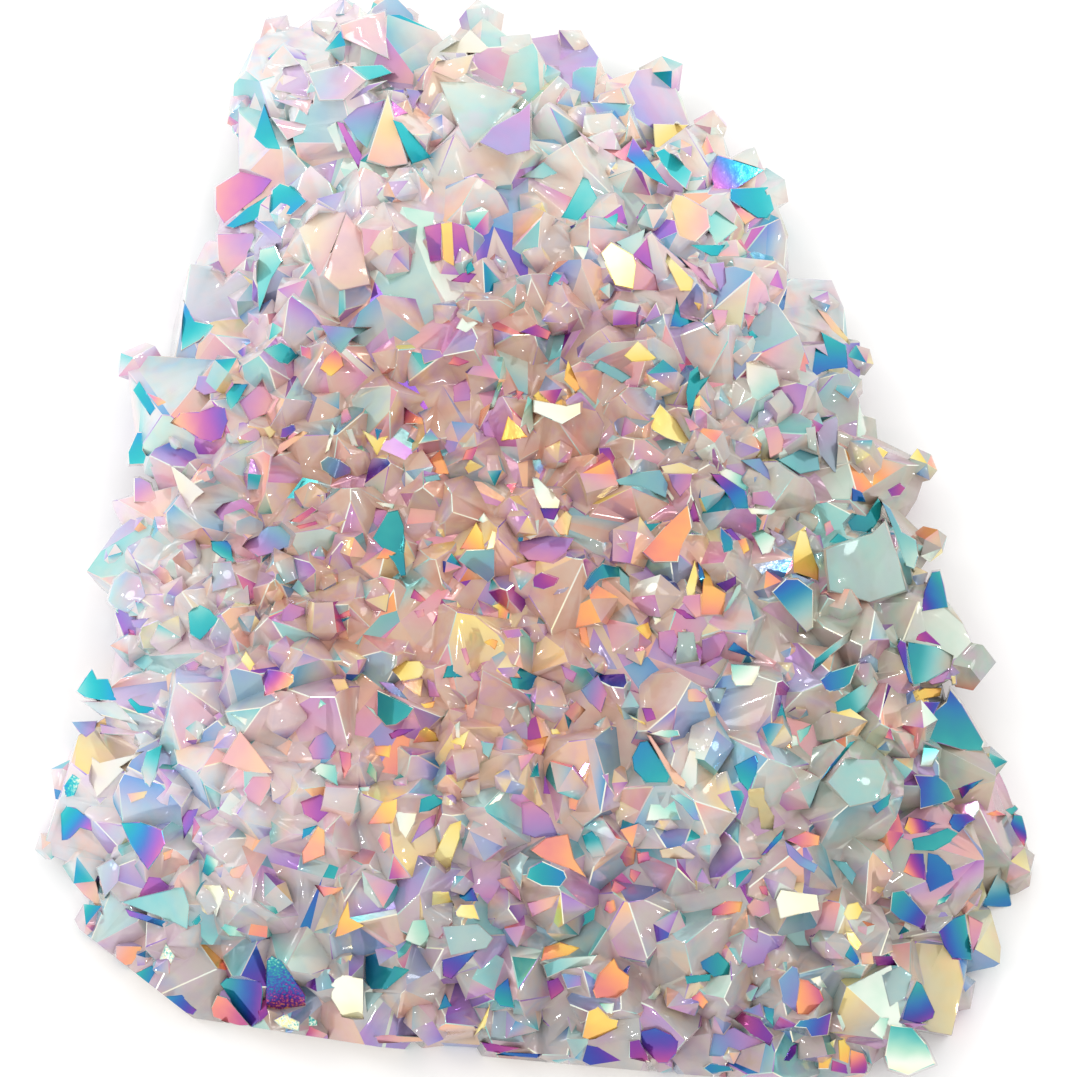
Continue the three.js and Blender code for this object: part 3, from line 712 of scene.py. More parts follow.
azure white soft 291,588 298,579 309,594 302,597
azure teal full 336,627 339,620 351,617
magenta coral full 336,616 349,610 351,616 339,619
coral orange soft 337,632 346,629 349,640 339,638
coral orange soft 221,762 240,731 257,752 272,773 262,773 246,771
magenta coral soft 243,790 253,777 271,777 271,787 260,806 249,800
mint white full 231,714 247,719 245,726 238,720
turquoise aqua soft 221,726 232,725 226,733
magenta violet soft 213,716 220,711 223,716 217,720
magenta azure soft 308,748 315,737 326,732 336,746 330,759 313,759
white aqua full 311,770 320,763 335,765 338,786 326,779
azure teal full 279,772 282,763 292,772 286,776
magenta coral full 339,751 351,753 351,766 344,779
orange yellow soft 331,679 345,679 349,688 337,691
violet magenta soft 272,710 280,701 287,706 285,724 273,731
white aqua full 318,709 320,699 326,704
magenta coral full 410,598 414,589 427,600 420,602
magenta coral soft 414,611 424,609 425,616 418,618
cream coral full 489,606 498,603 509,610 507,619 493,616
yellow orange full 484,642 492,638 498,641 495,650
magenta violet soft 502,630 519,628 523,636 507,639
violet magenta full 533,587 532,577 542,572 559,578 555,586 544,590
indigo azure faint 553,595 558,589 569,587 564,593
azure turquoise full 584,586 592,573 602,563 619,567 628,577 610,578 600,580 588,590
turquoise teal soft 619,568 629,577 631,594 620,584
magenta coral soft 461,649 466,647 470,661 467,667
magenta violet soft 469,674 476,671 481,681 474,681
yellow cream full 393,670 406,661 420,661 424,668 421,677 401,681
coral yellow soft 402,683 423,679 421,697 414,693
yellow orange full 421,704 435,701 433,708 425,708
violet magenta soft 427,679 434,683 440,697 429,697
teal turquoise full 377,690 388,695 404,703 414,708 408,717 396,725 386,726 377,716
violet azure soft 378,681 393,683 407,699 389,692
mint aqua soft 362,703 374,709 381,724 375,716
magenta violet full 389,734 398,729 415,729 406,734 392,739
coral yellow full 413,743 420,731 426,727 436,733 438,741
coral yellow full 374,746 391,745 389,758 376,755
aqua white full 367,772 370,761 377,772 377,784
aqua white full 353,787 371,786 368,791 361,791
yellow cream full 450,742 461,746 470,730 462,751
mint ivory soft 455,725 460,721 460,738 456,737
turquoise teal full 443,678 447,666 453,665 463,677 453,671
turquoise azure full 510,677 511,664 516,671 521,678 539,677 539,683 528,690 513,688
violet magenta soft 561,665 577,673 573,683 565,678
azure magenta soft 581,690 598,675 607,694 601,713 589,702
white aqua full 586,657 599,670 596,672
mint ivory soft 552,681 556,681 561,691 555,690
coral orange full 578,624 586,625 588,634 590,648 581,642
orange coral full 548,736 530,740 515,737 524,748 541,755
coral magenta soft 518,756 535,753 529,763 521,771
coral orange soft 531,709 540,707 547,716 542,723 535,716
turquoise aqua faint 517,708 529,705 531,719 528,727
cream yellow full 550,729 557,729 561,734 552,735
turquoise teal full 530,777 534,767 538,761 540,777
turquoise aqua soft 481,741 495,743 489,759 483,754
magenta orange soft 563,711 576,701 585,710 574,723
orange coral full 589,772 580,798 576,811 569,809 569,798
magenta violet full 577,774 584,763 589,764 582,779
azure teal full 567,789 574,785 576,788 570,799
violet magenta soft 602,775 609,773 609,785 605,781
ivory mint full 489,805 498,795 505,785 507,790 500,801
indigo azure faint 441,578 452,589 451,593 445,586
"""

# How a facet of the table is laid on the crystals: the shares of the way to its middle where
# they are felt, what keeps its slope from running off, how steep it may be, and how much of
# it stays clear of them.
PROBES = (0.15, 0.55)
SLOPE_DAMPING = 0.5
STEEPEST = 0.8
CLEARED = 0.6
LEAST_LIFT = 0.04
GREATEST_LIFT = 1.6

# The blocks behind and in front of it, in millimetres and shares of its size, and how many have
# edges painted bright as highlights.
FACET_DEPTH = 3.2
FACET_FLARE = 1.12
FACET_GAP = 0.02
CUT_DEPTH = 5
CUT_FLARE = 1.5
CUT_MARGIN = 1.02
HIGHLIGHT_EDGES_SHARE = 0.25


# ---- layout

class Throws:
    """The same random numbers as in the part, so that every crystal is where it is there."""

    def __init__(self, seed):
        self.seed = seed

    def __call__(self, low=0.0, high=1.0):
        self.seed = (self.seed * 1664525 + 1013904223) % 4294967296
        return low + (high - low) * (self.seed / 4294967296)


throw = Throws(THROWS_SEED)


def finished(point):
    """A point of the layout in metres, in the frame of the part."""
    return (point + TO_CENTRE) * MM


def seen_at(place, height):
    """Where the line of sight through a place in the picture comes down to a height."""
    spot = Vector(((place[0] - PICTURE / 2) * UNIT, 0, CRUST_TOP / 2))
    spot += UP * (PICTURE / 2 - place[1]) * UNIT
    sight = spot - EYE
    return EYE + sight * ((height - EYE.z) / sight.z)


def picture_place(point):
    """Where a point of the finished piece is seen: across from the left and down."""
    seen = point / MM - TO_CENTRE - EYE
    scale = LENS / SENSOR * PICTURE / -seen.dot(BACK)
    return PICTURE / 2 + seen.x * scale, PICTURE / 2 - seen.dot(UP) * scale


def smooth(low, high, value):
    share = min(max((value - low) / (high - low), 0), 1)
    return share * share * (3 - 2 * share)


def shoulder(angle):
    near = smooth(*NEAR_SIDE, -math.sin(angle))
    return CRUST_SHOULDER + (CRUST_NEAR_SHOULDER - CRUST_SHOULDER) * near


outline = [
    seen_at(place, shoulder(math.atan2(CLUSTER_MIDDLE[1] - place[1], place[0] - CLUSTER_MIDDLE[0])))
    for place in OUTLINE]
centre = sum(outline, Vector()) / len(outline)


def reach(angle):
    """How far the outline is from the centre in a direction."""
    x, y = math.cos(angle), math.sin(angle)
    far = 0
    for i, start in enumerate(outline):
        edge = outline[(i + 1) % len(outline)] - start
        off = start - centre
        cross = x * edge.y - y * edge.x
        along = (off.x * edge.y - off.y * edge.x) / cross
        share = (off.x * y - off.y * x) / cross
        if along > 0 and 0 <= share <= 1:
            far = max(far, along)
    return far


def crust_height(x, y):
    angle = math.atan2(y - centre.y, x - centre.x)
    out = min(math.hypot(x - centre.x, y - centre.y) / reach(angle), 1)
    cushion = CRUST_TOP + (shoulder(angle) - CRUST_TOP) * out ** CRUST_FALL
    across = math.sin(x * CRUST_SWELL["across_rate"] + CRUST_SWELL["across_start"])
    wave = across * math.cos(y * CRUST_SWELL["up_rate"] + CRUST_SWELL["up_start"])
    pocket = seen_at(POCKET["at"], CRUST_TOP)
    away = math.hypot(x - pocket.x, y - pocket.y) / (POCKET["radius"] * POCKET["spread"])
    return cushion + CRUST_SWELL["height"] * wave * (1 - out) - POCKET["depth"] * max(0, 1 - away)


def main_crystals():
    crystals = []
    for across, down, size, lean, towards, turn in MAIN_CRYSTALS:
        radius = size * UNIT * RADIUS_OVER_SEEN_SIZE
        side = math.radians(towards)
        axis = Vector((math.cos(side), math.sin(side), 0)) * math.sin(math.radians(lean))
        axis.z = math.cos(math.radians(lean))
        tip = seen_at((across, down), CRUST_TOP)
        for _ in range(SETTLING_ROUNDS):
            foot = tip - axis * radius
            tip = seen_at((across, down), crust_height(foot.x, foot.y) + radius * axis.z)
        crystals.append({"tip": tip, "axis": axis, "turn": math.radians(turn), "radius": radius})
    return crystals


def random_seat(wall):
    on_side = throw() < wall
    angle = throw(-math.pi, math.pi)
    share = 1 if on_side else math.sqrt(throw())
    x = centre.x + share * reach(angle) * math.cos(angle)
    y = centre.y + share * reach(angle) * math.sin(angle)
    facing = Vector((math.cos(angle), math.sin(angle), 0))
    if on_side:
        return Vector((x, y, throw(*WALL_SEAT) * shoulder(angle))), facing, 1
    facing *= EDGE_LEAN * share ** CRUST_FALL
    facing.z = 1
    return Vector((x, y, crust_height(x, y))), facing.normalized(), share


def filler_crystals(placed):
    pocket = seen_at(POCKET["at"], CRUST_TOP)
    for stage in ROUNDS:
        for _ in range(stage["tries"]):
            seat, facing, out = random_seat(stage["wall"])
            full = FILLER["middle"] + (FILLER["edge"] - FILLER["middle"]) * out ** CRUST_FALL
            radius = full * stage["share"] * throw(*FILLER["spread"])
            stray = Vector((throw(*FILLER["stray"]), throw(*FILLER["stray"]), FILLER["upturn"]))
            axis = (facing + stray).normalized()
            turn = throw(0, FILLER["turn"])
            tip = seat + axis * radius * throw(*FILLER["proud"])
            clear = all((tip - p["tip"]).length > stage["apart"] * (radius + p["radius"])
                        for p in placed)
            in_pocket = math.hypot(seat.x - pocket.x, seat.y - pocket.y) < POCKET["radius"]
            if clear and not in_pocket and tip.z > radius * FILLER["least_tip"]:
                placed.append({"tip": tip, "axis": axis, "turn": turn, "radius": radius})
    return placed


# ---- shape

def mesh_object(name, bm):
    mesh = bpy.data.meshes.new(name)
    bm.to_mesh(mesh)
    bm.free()
    made = bpy.data.objects.new(name, mesh)
    bpy.context.scene.collection.objects.link(made)
    return made


def crust(rng):
    """The cushion under the crystals: a profile spun round and moved out to the outline."""
    bm = bmesh.new()
    profile = [bm.verts.new((share, 0, height)) for share, height in
               [(0, 0), (1, 0)] + [(share, 1) for share in CRUST_RINGS]]
    edges = [bm.edges.new(pair) for pair in zip(profile, profile[1:])]
    bmesh.ops.spin(bm, geom=profile + edges, cent=(0, 0, 0), axis=(0, 0, 1),
                   angle=2 * math.pi, steps=CRUST_SECTORS, use_merge=True)
    bmesh.ops.remove_doubles(bm, verts=bm.verts, dist=CRUST_MERGE)
    bmesh.ops.recalc_face_normals(bm, faces=bm.faces)
    for vert in bm.verts:
        share = math.hypot(vert.co.x, vert.co.y)
        angle = math.atan2(vert.co.y, vert.co.x)
        x = centre.x + share * reach(angle) * math.cos(angle)
        y = centre.y + share * reach(angle) * math.sin(angle)
        z = crust_height(x, y) if vert.co.z > 0.5 else 0
        vert.co = finished(Vector((x, y, z)))
    coat(bm, bm.faces, rng)
    return mesh_object("quartz_points", bm)


def settle(specs):
    """Gives each crystal its flattening, the planes of its tip and its place."""
    for spec in specs:
        radius = spec["radius"]
        spec["flattening"] = throw(*FLATTENING)
        spec["planes"] = []
        for k in range(6):
            angle = k * math.pi / 3
            back = radius * throw(*(SMALL_FACE_BACK if k % 2 else LARGE_FACE_BACK))
            outward = Vector((math.cos(angle), math.sin(angle), 0)) * math.sin(FACE_SLOPE)
            outward.z = math.cos(FACE_SLOPE)
            spec["planes"].append((outward * back, outward))
        stand = Vector((0, 0, 1)).rotation_difference(spec["axis"])
        spec["stand"] = (stand @ Quaternion((0, 0, 1), spec["turn"])).to_matrix()


def proud_of(spec, point):
    """How far a point is outside a crystal, in millimetres; below 0 is inside."""
    local = spec["stand"].transposed() @ (point - spec["tip"])
    side = max(abs(local.x * math.cos(a) + local.y / spec["flattening"] * math.sin(a))
               for a in PRISM_SIDES)
    tip = max((local - on).dot(outward) for on, outward in spec["planes"])
    return max(tip, side - spec["radius"] * math.cos(math.pi / 6))


def spot_on(spec, angle, down):
    """The point of a crystal's tip faces in a direction and so far below its tip, and the way
    it faces."""
    out = Vector((math.cos(angle), math.sin(angle), 0))
    spot, facing = min(
        (((on.dot(outward) + down * outward.z) / out.dot(outward), k)
         for k, (on, outward) in enumerate(spec["planes"]) if out.dot(outward) > FACES_OUT),
        key=lambda found: found[0])
    spot = min(spot, spec["radius"] * SEAT_WITHIN)
    local = out * spot - Vector((0, 0, down))
    return spec["tip"] + spec["stand"] @ local, spec["stand"] @ spec["planes"][facing][1]


def standing_out(specs):
    """The crystals but for those whose tip a larger one all but hides."""
    return [spec for spec in specs if not any(
        proud_of(other, spec["tip"]) < BURIED * spec["radius"]
        for other in specs if other["radius"] > LARGER * spec["radius"])]


def fine_edges(bm, edges):
    """Bevels edges finely; gives the strips."""
    return bmesh.ops.bevel(bm, geom=edges, offset=EDGE_WIDTH, offset_type="OFFSET", segments=1,
                           profile=0.5, affect="EDGES", clamp_overlap=True, material=-1)["faces"]


def crystal(spec, rng):
    """A six-sided prism cut to three large and three small tip faces, with fine edges."""
    radius = spec["radius"]
    length = radius * CRYSTAL_LENGTH
    bm = bmesh.new()
    bmesh.ops.create_cone(bm, cap_ends=True, segments=6, radius1=radius, radius2=radius,
                          depth=length, matrix=Matrix.Translation((0, 0, -length / 2)))
    bmesh.ops.scale(bm, verts=bm.verts, vec=(1, spec["flattening"], 1))
    for on, outward in spec["planes"]:
        cut = bmesh.ops.bisect_plane(
            bm, geom=bm.verts[:] + bm.edges[:] + bm.faces[:], dist=PLANE_GAP,
            plane_co=on, plane_no=outward, clear_outer=True)["geom_cut"]
        rim = [part for part in cut if isinstance(part, bmesh.types.BMEdge)]
        if len(rim) > 2:
            bmesh.ops.contextual_create(bm, geom=rim)
    bmesh.ops.remove_doubles(bm, verts=bm.verts, dist=CRYSTAL_MERGE)
    bmesh.ops.recalc_face_normals(bm, faces=bm.faces)
    place = Matrix.Translation(finished(spec["tip"]))
    bmesh.ops.transform(bm, verts=bm.verts,
                        matrix=place @ spec["stand"].to_4x4() @ Matrix.Scale(MM, 4))
    bm.normal_update()
    strips = fine_edges(bm, [edge for edge in bm.edges if edge.calc_length() > LEAST_EDGE])
    facets = [face for face in bm.faces if face not in set(strips)]
    coat(bm, facets, rng, strips)
    return bm


def boolean(base, helpers, operation):
    for helper in helpers:
        step = base.modifiers.new("step", "BOOLEAN")
        step.operation = operation
        step.solver = "MANIFOLD"
        step.object = helper
    result = bpy.data.meshes.new_from_object(
        base.evaluated_get(bpy.context.evaluated_depsgraph_get()))
    base.modifiers.clear()
    for helper in helpers:
        bpy.data.meshes.remove(helper.data)
    base.data = result


def apart_in_groups(spheres):
    """Sorts things into groups in which no two touch: lists of places in the given list."""
    groups = []
    for i, (middle, radius) in enumerate(spheres):
        for group in groups:
            if all((middle - spheres[k][0]).length > radius + spheres[k][1] for k in group):
                group.append(i)
                break
        else:
            groups.append([i])
    return groups


def join(base, pieces, spheres, operation="UNION"):
    """Takes pieces into the base, or cuts them from it, those that are apart all at once. Each
    has a sphere round it."""
    helpers = []
    for group in apart_in_groups(spheres):
        together = bmesh.new()
        for i in group:
            part = bpy.data.meshes.new("part")
            pieces[i].to_mesh(part)
            together.from_mesh(part)
            pieces[i].free()
            bpy.data.meshes.remove(part)
        helpers.append(mesh_object("to_join", together))
    boolean(base, helpers, operation)


def crease_seats(specs, rng):
    """Places on the crystals that are close to a neighbour, each with the way it faces."""
    seats = []
    for spec in specs:
        near = [other for other in specs if other is not spec and
                (other["tip"] - spec["tip"]).length
                < NEIGHBOUR * (other["radius"] + spec["radius"])]
        for _ in range(int(TRIES_PER_MM * spec["radius"])):
            place, facing = spot_on(spec, rng.uniform(0, 2 * math.pi),
                                    rng.uniform(*SEAT_BELOW_TIP) * spec["radius"])
            gaps = [proud_of(other, place) for other in near]
            gaps.append(place.z - crust_height(place.x, place.y))
            in_crease = CREASE_GAP[0] < min(gaps) < CREASE_GAP[1]
            if in_crease and place.z > LOWEST_SEAT and facing.z > SEAT_FACING:
                seats.append((place, facing))
    rng.shuffle(seats)
    return seats


def small_places(specs, rng):
    """Where small points have room: place, axis and radius, in metres."""
    seats = crease_seats(specs, rng)
    kept = []
    for size in SMALL_SIZES:
        for place, facing in seats:
            radius = rng.uniform(*size["radius"])
            if all((place - p[0]).length > size["apart"] * (radius + p[2]) for p in kept):
                stray = Vector([rng.uniform(-SMALL_STRAY, SMALL_STRAY) for _ in range(3)])
                kept.append((place, (facing + stray).normalized(), radius))
    kept = [(finished(place), axis, radius * MM) for place, axis, radius in kept]
    outlines = [corners for _, _, corners in coated_facets()]
    return [spot for spot in kept if not any(
        in_outline(picture_place(spot[0] + spot[1] * spot[2] * share), corners)
        for share in SMALL_SEEN_AT for corners in outlines)]


def small_point(place, axis, radius, rng):
    """A short six-sided prism, wider at its shoulder, poked up into a lopsided tip."""
    bm = bmesh.new()
    stand = Matrix.Translation(place) @ axis.to_track_quat("Z", "Y").to_matrix().to_4x4()
    turn = Matrix.Rotation(rng.uniform(0, math.pi / 3), 4, "Z")
    squash = Matrix.Diagonal((1, rng.uniform(*SMALL_POINT["flattening"]), 1, 1))
    length = radius * SMALL_POINT["length"]
    bmesh.ops.create_cone(
        bm, cap_ends=True, segments=6, radius1=radius * SMALL_POINT["foot"], radius2=radius,
        depth=length, matrix=stand @ turn @ squash @ Matrix.Translation((0, 0, -length / 2)))
    bm.normal_update()
    top = max(bm.faces, key=lambda face: face.normal.dot(axis))
    tip = bmesh.ops.poke(bm, faces=[top], offset=0)["verts"][0]
    lean = Vector([rng.uniform(*SMALL_POINT["lean"]) for _ in range(3)]) * radius
    height = rng.uniform(*SMALL_POINT["tip"])
    bmesh.ops.translate(bm, verts=[tip], vec=axis * radius * height + lean)
    bm.normal_update()
    coat(bm, bm.faces, rng)
    return bm


def coated_facets():
    """The facets of the table: coat, strength and corners."""
    for line in COATED_FACETS.strip().splitlines():
        first, second, strength, *corners = line.split()
        yield f"{first} {second}", strength, [
            tuple(float(part) for part in corner.split(",")) for corner in corners]


def towards(place, share, middle):
    """A place in the picture, moved towards a middle by a share of the way."""
    return tuple(a + (b - a) * share for a, b in zip(place, middle))


def facet_on(tree, corners):
    """The corners of a facet that lies on the crystals behind its outline in the picture, in
    metres; nothing where no crystal is behind it."""
    start = finished(EYE)
    middle = tuple(sum(side) / len(corners) for side in zip(*corners))
    halves = [towards(a, 0.5, b) for a, b in zip(corners, corners[1:] + corners[:1])]
    spots = [towards(place, PROBES[0], middle) for place in corners]
    spots += [towards(place, share, middle) for place in halves for share in PROBES]
    spots.append(middle)
    hits = []
    for spot in spots:
        hit = tree.ray_cast(start, (seen_at(spot, 0) - EYE).normalized())[0]
        if hit:
            hits.append(Vector((1, hit.dot(ACROSS) / MM, hit.dot(UP) / MM, hit.dot(BACK) / MM)))
    if len(hits) < 3:
        return None
    level = sum(hits, Vector((0, 0, 0, 0))) / len(hits)
    off = [hit - level for hit in hits]
    xx, yy, xy, xz, yz = (sum(o[i] * o[k] for o in off) for i, k in
                          ((1, 1), (2, 2), (1, 2), (1, 3), (2, 3)))
    xx, yy = xx + SLOPE_DAMPING, yy + SLOPE_DAMPING
    whole = xx * yy - xy * xy
    slope = Vector(((xz * yy - yz * xy) / whole, (yz * xx - xz * xy) / whole))
    if slope.length > STEEPEST:
        slope *= STEEPEST / slope.length
    proud = sorted(o[3] - slope.x * o[1] - slope.y * o[2] for o in off)
    lift = min(max(proud[int(CLEARED * len(proud))], 0) + LEAST_LIFT, GREATEST_LIFT)
    normal = (BACK - ACROSS * slope.x - UP * slope.y).normalized()
    spot = (ACROSS * level[1] + UP * level[2] + BACK * (level[3] + lift)) * MM
    placed = []
    for corner in corners:
        sight = (seen_at(corner, 0) - EYE).normalized()
        placed.append(start + sight * ((spot - start).dot(normal) / sight.dot(normal)))
    return placed


def facet_block(corners, push, flare, grow=1):
    """A closed block on the outline of a facet, which goes from it by a push and flares."""
    bm = bmesh.new()
    middle = sum(corners, Vector()) / len(corners)
    rim = [bm.verts.new(middle + (corner - middle) * grow) for corner in corners]
    outline = bmesh.ops.contextual_create(bm, geom=rim)["faces"]
    pushed = bmesh.ops.extrude_face_region(bm, geom=outline, use_keep_orig=True)["geom"]
    pushed = [part for part in pushed if isinstance(part, bmesh.types.BMVert)]
    bmesh.ops.scale(bm, verts=pushed, vec=(flare, flare, flare), space=Matrix.Translation(-middle))
    bmesh.ops.translate(bm, verts=pushed, vec=push)
    bmesh.ops.recalc_face_normals(bm, faces=bm.faces)
    return bm, rim


def facet_pieces(tree, rng):
    """For every coated facet what is cut away in front of it, and the crystal that it ends:
    lists of both, each piece with a sphere round it."""
    pieces = [], []
    start = finished(EYE)
    for name, strength, corners in coated_facets():
        placed = facet_on(tree, corners)
        if placed is None:
            continue
        middle = sum(placed, Vector()) / len(placed)
        to_eye = (start - middle).normalized()
        size = max((corner - middle).length for corner in placed)
        taken, _ = facet_block([corner - to_eye * FACET_GAP * MM for corner in placed],
                               to_eye * CUT_DEPTH * MM, CUT_FLARE, CUT_MARGIN)
        grown, rim = facet_block(placed, to_eye * -FACET_DEPTH * MM, FACET_FLARE)
        strips = fine_edges(grown, [edge for edge in grown.edges
                                    if all(vert in rim for vert in edge.verts)])
        highlight_edges = rng.random() < HIGHLIGHT_EDGES_SHARE
        for bm in (taken, grown):
            bm.normal_update()
            written = layers(bm)
            flat = min(bm.faces, key=lambda face: (face.calc_center_median() - middle).length)
            for face in bm.faces:
                if face is flat:
                    paint(face, written, name, STRENGTHS[strength], rng, placed[0],
                          float(strength == "frosted"))
                # Painted highlights along the facet's edges.
                elif face in strips and highlight_edges:
                    paint(face, written, *rng.choice(EDGE_HIGHLIGHT_COATS), rng)
                elif face in strips:
                    paint(face, written, name, STRENGTHS[strength], rng, placed[0])
                else:
                    paint(face, written, pick_coat(face, rng), rng.choice(MILKY), rng)
        pieces[0].append((taken, (middle + to_eye * CUT_DEPTH * MM / 2,
                                  math.hypot(size * CUT_FLARE, CUT_DEPTH * MM / 2))))
        pieces[1].append((grown, (middle - to_eye * FACET_DEPTH * MM / 2,
                                  math.hypot(size * FACET_FLARE, FACET_DEPTH * MM / 2))))
    return pieces


def with_facets(cluster, rng):
    """Cuts and grows the coated facets on the cluster."""
    bm = bmesh.new()
    bm.from_mesh(cluster.data)
    tree = BVHTree.FromBMesh(bm)
    bm.free()
    for pieces, operation in zip(facet_pieces(tree, rng), ("DIFFERENCE", "UNION")):
        join(cluster, *zip(*pieces), operation)


def in_outline(place, corners):
    """Whether a place in the picture is inside an outline."""
    inside = False
    for a, b in zip(corners, corners[1:] + corners[:1]):
        if (a[1] > place[1]) != (b[1] > place[1]):
            if place[0] < a[0] + (b[0] - a[0]) * (place[1] - a[1]) / (b[1] - a[1]):
                inside = not inside
    return inside


def cutters():
    """Blocks that hold what is beyond the break and below the flat cut."""
    planes = [(finished(Vector()), Vector((0, 0, -1)))]
    for start, end in zip(BREAK, BREAK[1:]):
        low = seen_at(start, 0)
        up = seen_at(start, CRUST_TOP) - low
        outward = (seen_at(end, 0) - low).cross(up).normalized()
        planes.append((finished(low), outward))
    blocks = []
    size = 2 * CLUSTER_WIDTH * MM
    for place, outward in planes:
        bm = bmesh.new()
        turn = outward.to_track_quat("Z", "Y").to_matrix().to_4x4()
        bmesh.ops.create_cube(bm, size=size, matrix=Matrix.Translation(
            place + outward * size / 2) @ turn)
        bare(bm)
        blocks.append(mesh_object("to_cut", bm))
    return blocks


def grown_cluster():
    """The crust, the crystals and the small points, joined in one closed mesh and cut flat."""
    rng = random.Random(SEED)
    cluster = crust(rng)
    specs = filler_crystals(main_crystals())
    settle(specs)
    specs = standing_out(specs)
    spheres = [(spec["tip"] - spec["axis"] * spec["radius"] * CRYSTAL_LENGTH / 2,
                spec["radius"] * CRYSTAL_REACH) for spec in specs]
    join(cluster, [crystal(spec, rng) for spec in specs], spheres)
    with_facets(cluster, rng)
    places = small_places(specs, rng)
    spheres = [(place, radius * SMALL_REACH) for place, _, radius in places]
    join(cluster, [small_point(*spot, rng) for spot in places], spheres)
    boolean(cluster, cutters(), "DIFFERENCE")
    drop_loose_bits(cluster)
    soften(cluster)
    return cluster


def drop_loose_bits(cluster):
    """Takes away the bits that the cuts have left with no hold on the cluster."""
    bm = bmesh.new()
    bm.from_mesh(cluster.data)
    unseen = set(bm.verts)
    bits = []
    while unseen:
        bit = [unseen.pop()]
        for vert in bit:
            near = {edge.other_vert(vert) for edge in vert.link_edges} & unseen
            unseen -= near
            bit += near
        bits.append(bit)
    bits.remove(max(bits, key=len))
    bmesh.ops.delete(bm, geom=[vert for bit in bits for vert in bit], context="VERTS")
    bm.to_mesh(cluster.data)
    bm.free()


def soften(cluster):
    """Lets milky facets shade into each other, and keeps the edges of coated ones crisp. It also
    writes how far each corner lies in a crease, for the painted shade there.
    """
    bm = bmesh.new()
    bm.from_mesh(cluster.data)
    strength = bm.loops.layers.float["coat_strength"]
    crisp = {face for face in bm.faces
             if sum(loop[strength] for loop in face.loops) > CRISP_STRENGTH * len(face.loops)}
    for face in bm.faces:
        face.smooth = True
    for edge in bm.edges:
        edge.smooth = not any(face in crisp for face in edge.link_faces) \
            and edge.calc_face_angle(math.pi) < SOFT_ANGLE
    # How far each corner lies in a crease, where painted shade darkens the body.
    crease_shade = bm.loops.layers.float.new("crease_shade")
    for vert in bm.verts:
        turns = [-edge.calc_face_angle_signed(0) for edge in vert.link_edges]
        depth = smooth(CREASE_SHADE_FROM, CREASE_SHADE_TO, max(turns))
        for loop in vert.link_loops:
            loop[crease_shade] = depth
    bm.to_mesh(cluster.data)
    bm.free()


# ---- coat

def layers(bm):
    return [bm.loops.layers.float.get(name) or bm.loops.layers.float.new(name) for name in LAYERS]


def bare(bm):
    """Marks every face as raw quartz, which no coat reached."""
    written = layers(bm)
    for face in bm.faces:
        for loop in face.loops:
            for layer, value in zip(written, BARE):
                loop[layer] = value


def coat_names(across, down):
    """The coats that are usual in a region of the cluster."""
    off = [(place - at) / far for place, at, far in
           zip((across, down), MIDDLE_AREA["at"], MIDDLE_AREA["reach"])]
    middle = math.exp(-off[0] ** 2 - off[1] ** 2)
    right = smooth(*RIGHT_FROM_TO, across)
    return [(middle, MIDDLE_COATS), ((1 - middle) * right, RIGHT_COATS),
            ((1 - middle) * (1 - right), LEFT_COATS)]


def pick_coat(face, rng):
    regions = coat_names(*picture_place(face.calc_center_median()))
    names = rng.choices([names for _, names in regions], [weight for weight, _ in regions])[0]
    return rng.choice(names)


def cut_corner(facet, rng):
    """Cuts a corner off a facet with a straight line; gives the corner and the rest."""
    sizes = {loop: loop.edge.calc_length() + loop.link_loop_prev.edge.calc_length()
             for loop in facet.loops}
    loop = max(sizes, key=lambda side: sizes[side] * rng.uniform(*CORNER_PICK))
    corner = loop.vert
    ends = []
    for edge in (loop.edge, loop.link_loop_prev.edge):
        share = rng.uniform(*CORNER_CUT)
        ends.append(bmesh.utils.edge_split(edge, corner, share)[1])
    rest = bmesh.utils.face_split(facet, *ends)[0]
    return (facet, rest) if corner in facet.verts else (rest, facet)


def paint(face, written, name, strengths, rng, start=None, frost=0.0):
    """Lays one coat over a face. Its colours run away from a start, or in some direction, and
    its strength, which is full at 1 and up and none at 0 and down, about the same way."""
    orders = [COAT[colour][0] for colour in name.split()]
    middle = face.calc_center_median()
    if start is None:
        run = face.normal.orthogonal().normalized()
        run.rotate(Matrix.Rotation(rng.uniform(0, 2 * math.pi), 3, face.normal))
        fade = run.copy()
        fade.rotate(Matrix.Rotation(rng.uniform(*FADE_TURN), 3, face.normal))
        if rng.random() < REVERSED_SHARE:
            orders.reverse()
    else:
        run = fade = (middle - start).normalized()
    tone = rng.uniform(*TONES)
    along, fading = ([loop.vert.co.dot(way) for loop in face.loops] for way in (run, fade))
    for loop, place, faded in zip(face.loops, along, fading):
        share = (place - min(along)) / max(max(along) - min(along), TINY)
        faded = (faded - min(fading)) / max(max(fading) - min(fading), TINY)
        values = (orders[0] + (orders[1] - orders[0]) * share,
                  strengths[0] + (strengths[1] - strengths[0]) * faded,
                  tone + TONE_RUN * share, 0.0, frost)
        for layer, value in zip(written, values):
            loop[layer] = value


def cut_sliver(facet, rng):
    """Cuts a facet from one corner to a far side; gives the smaller piece and the larger."""
    loop = rng.choice(facet.loops[:])
    side = loop.link_loop_next
    if len(facet.verts) > 3 and rng.random() < FAR_SIDE_SHARE:
        side = side.link_loop_next
    end = bmesh.utils.edge_split(side.edge, side.vert, rng.uniform(*SLIVER_CUT))[1]
    other = bmesh.utils.face_split(facet, loop.vert, end)[0]
    return sorted((facet, other), key=lambda face: face.calc_area())


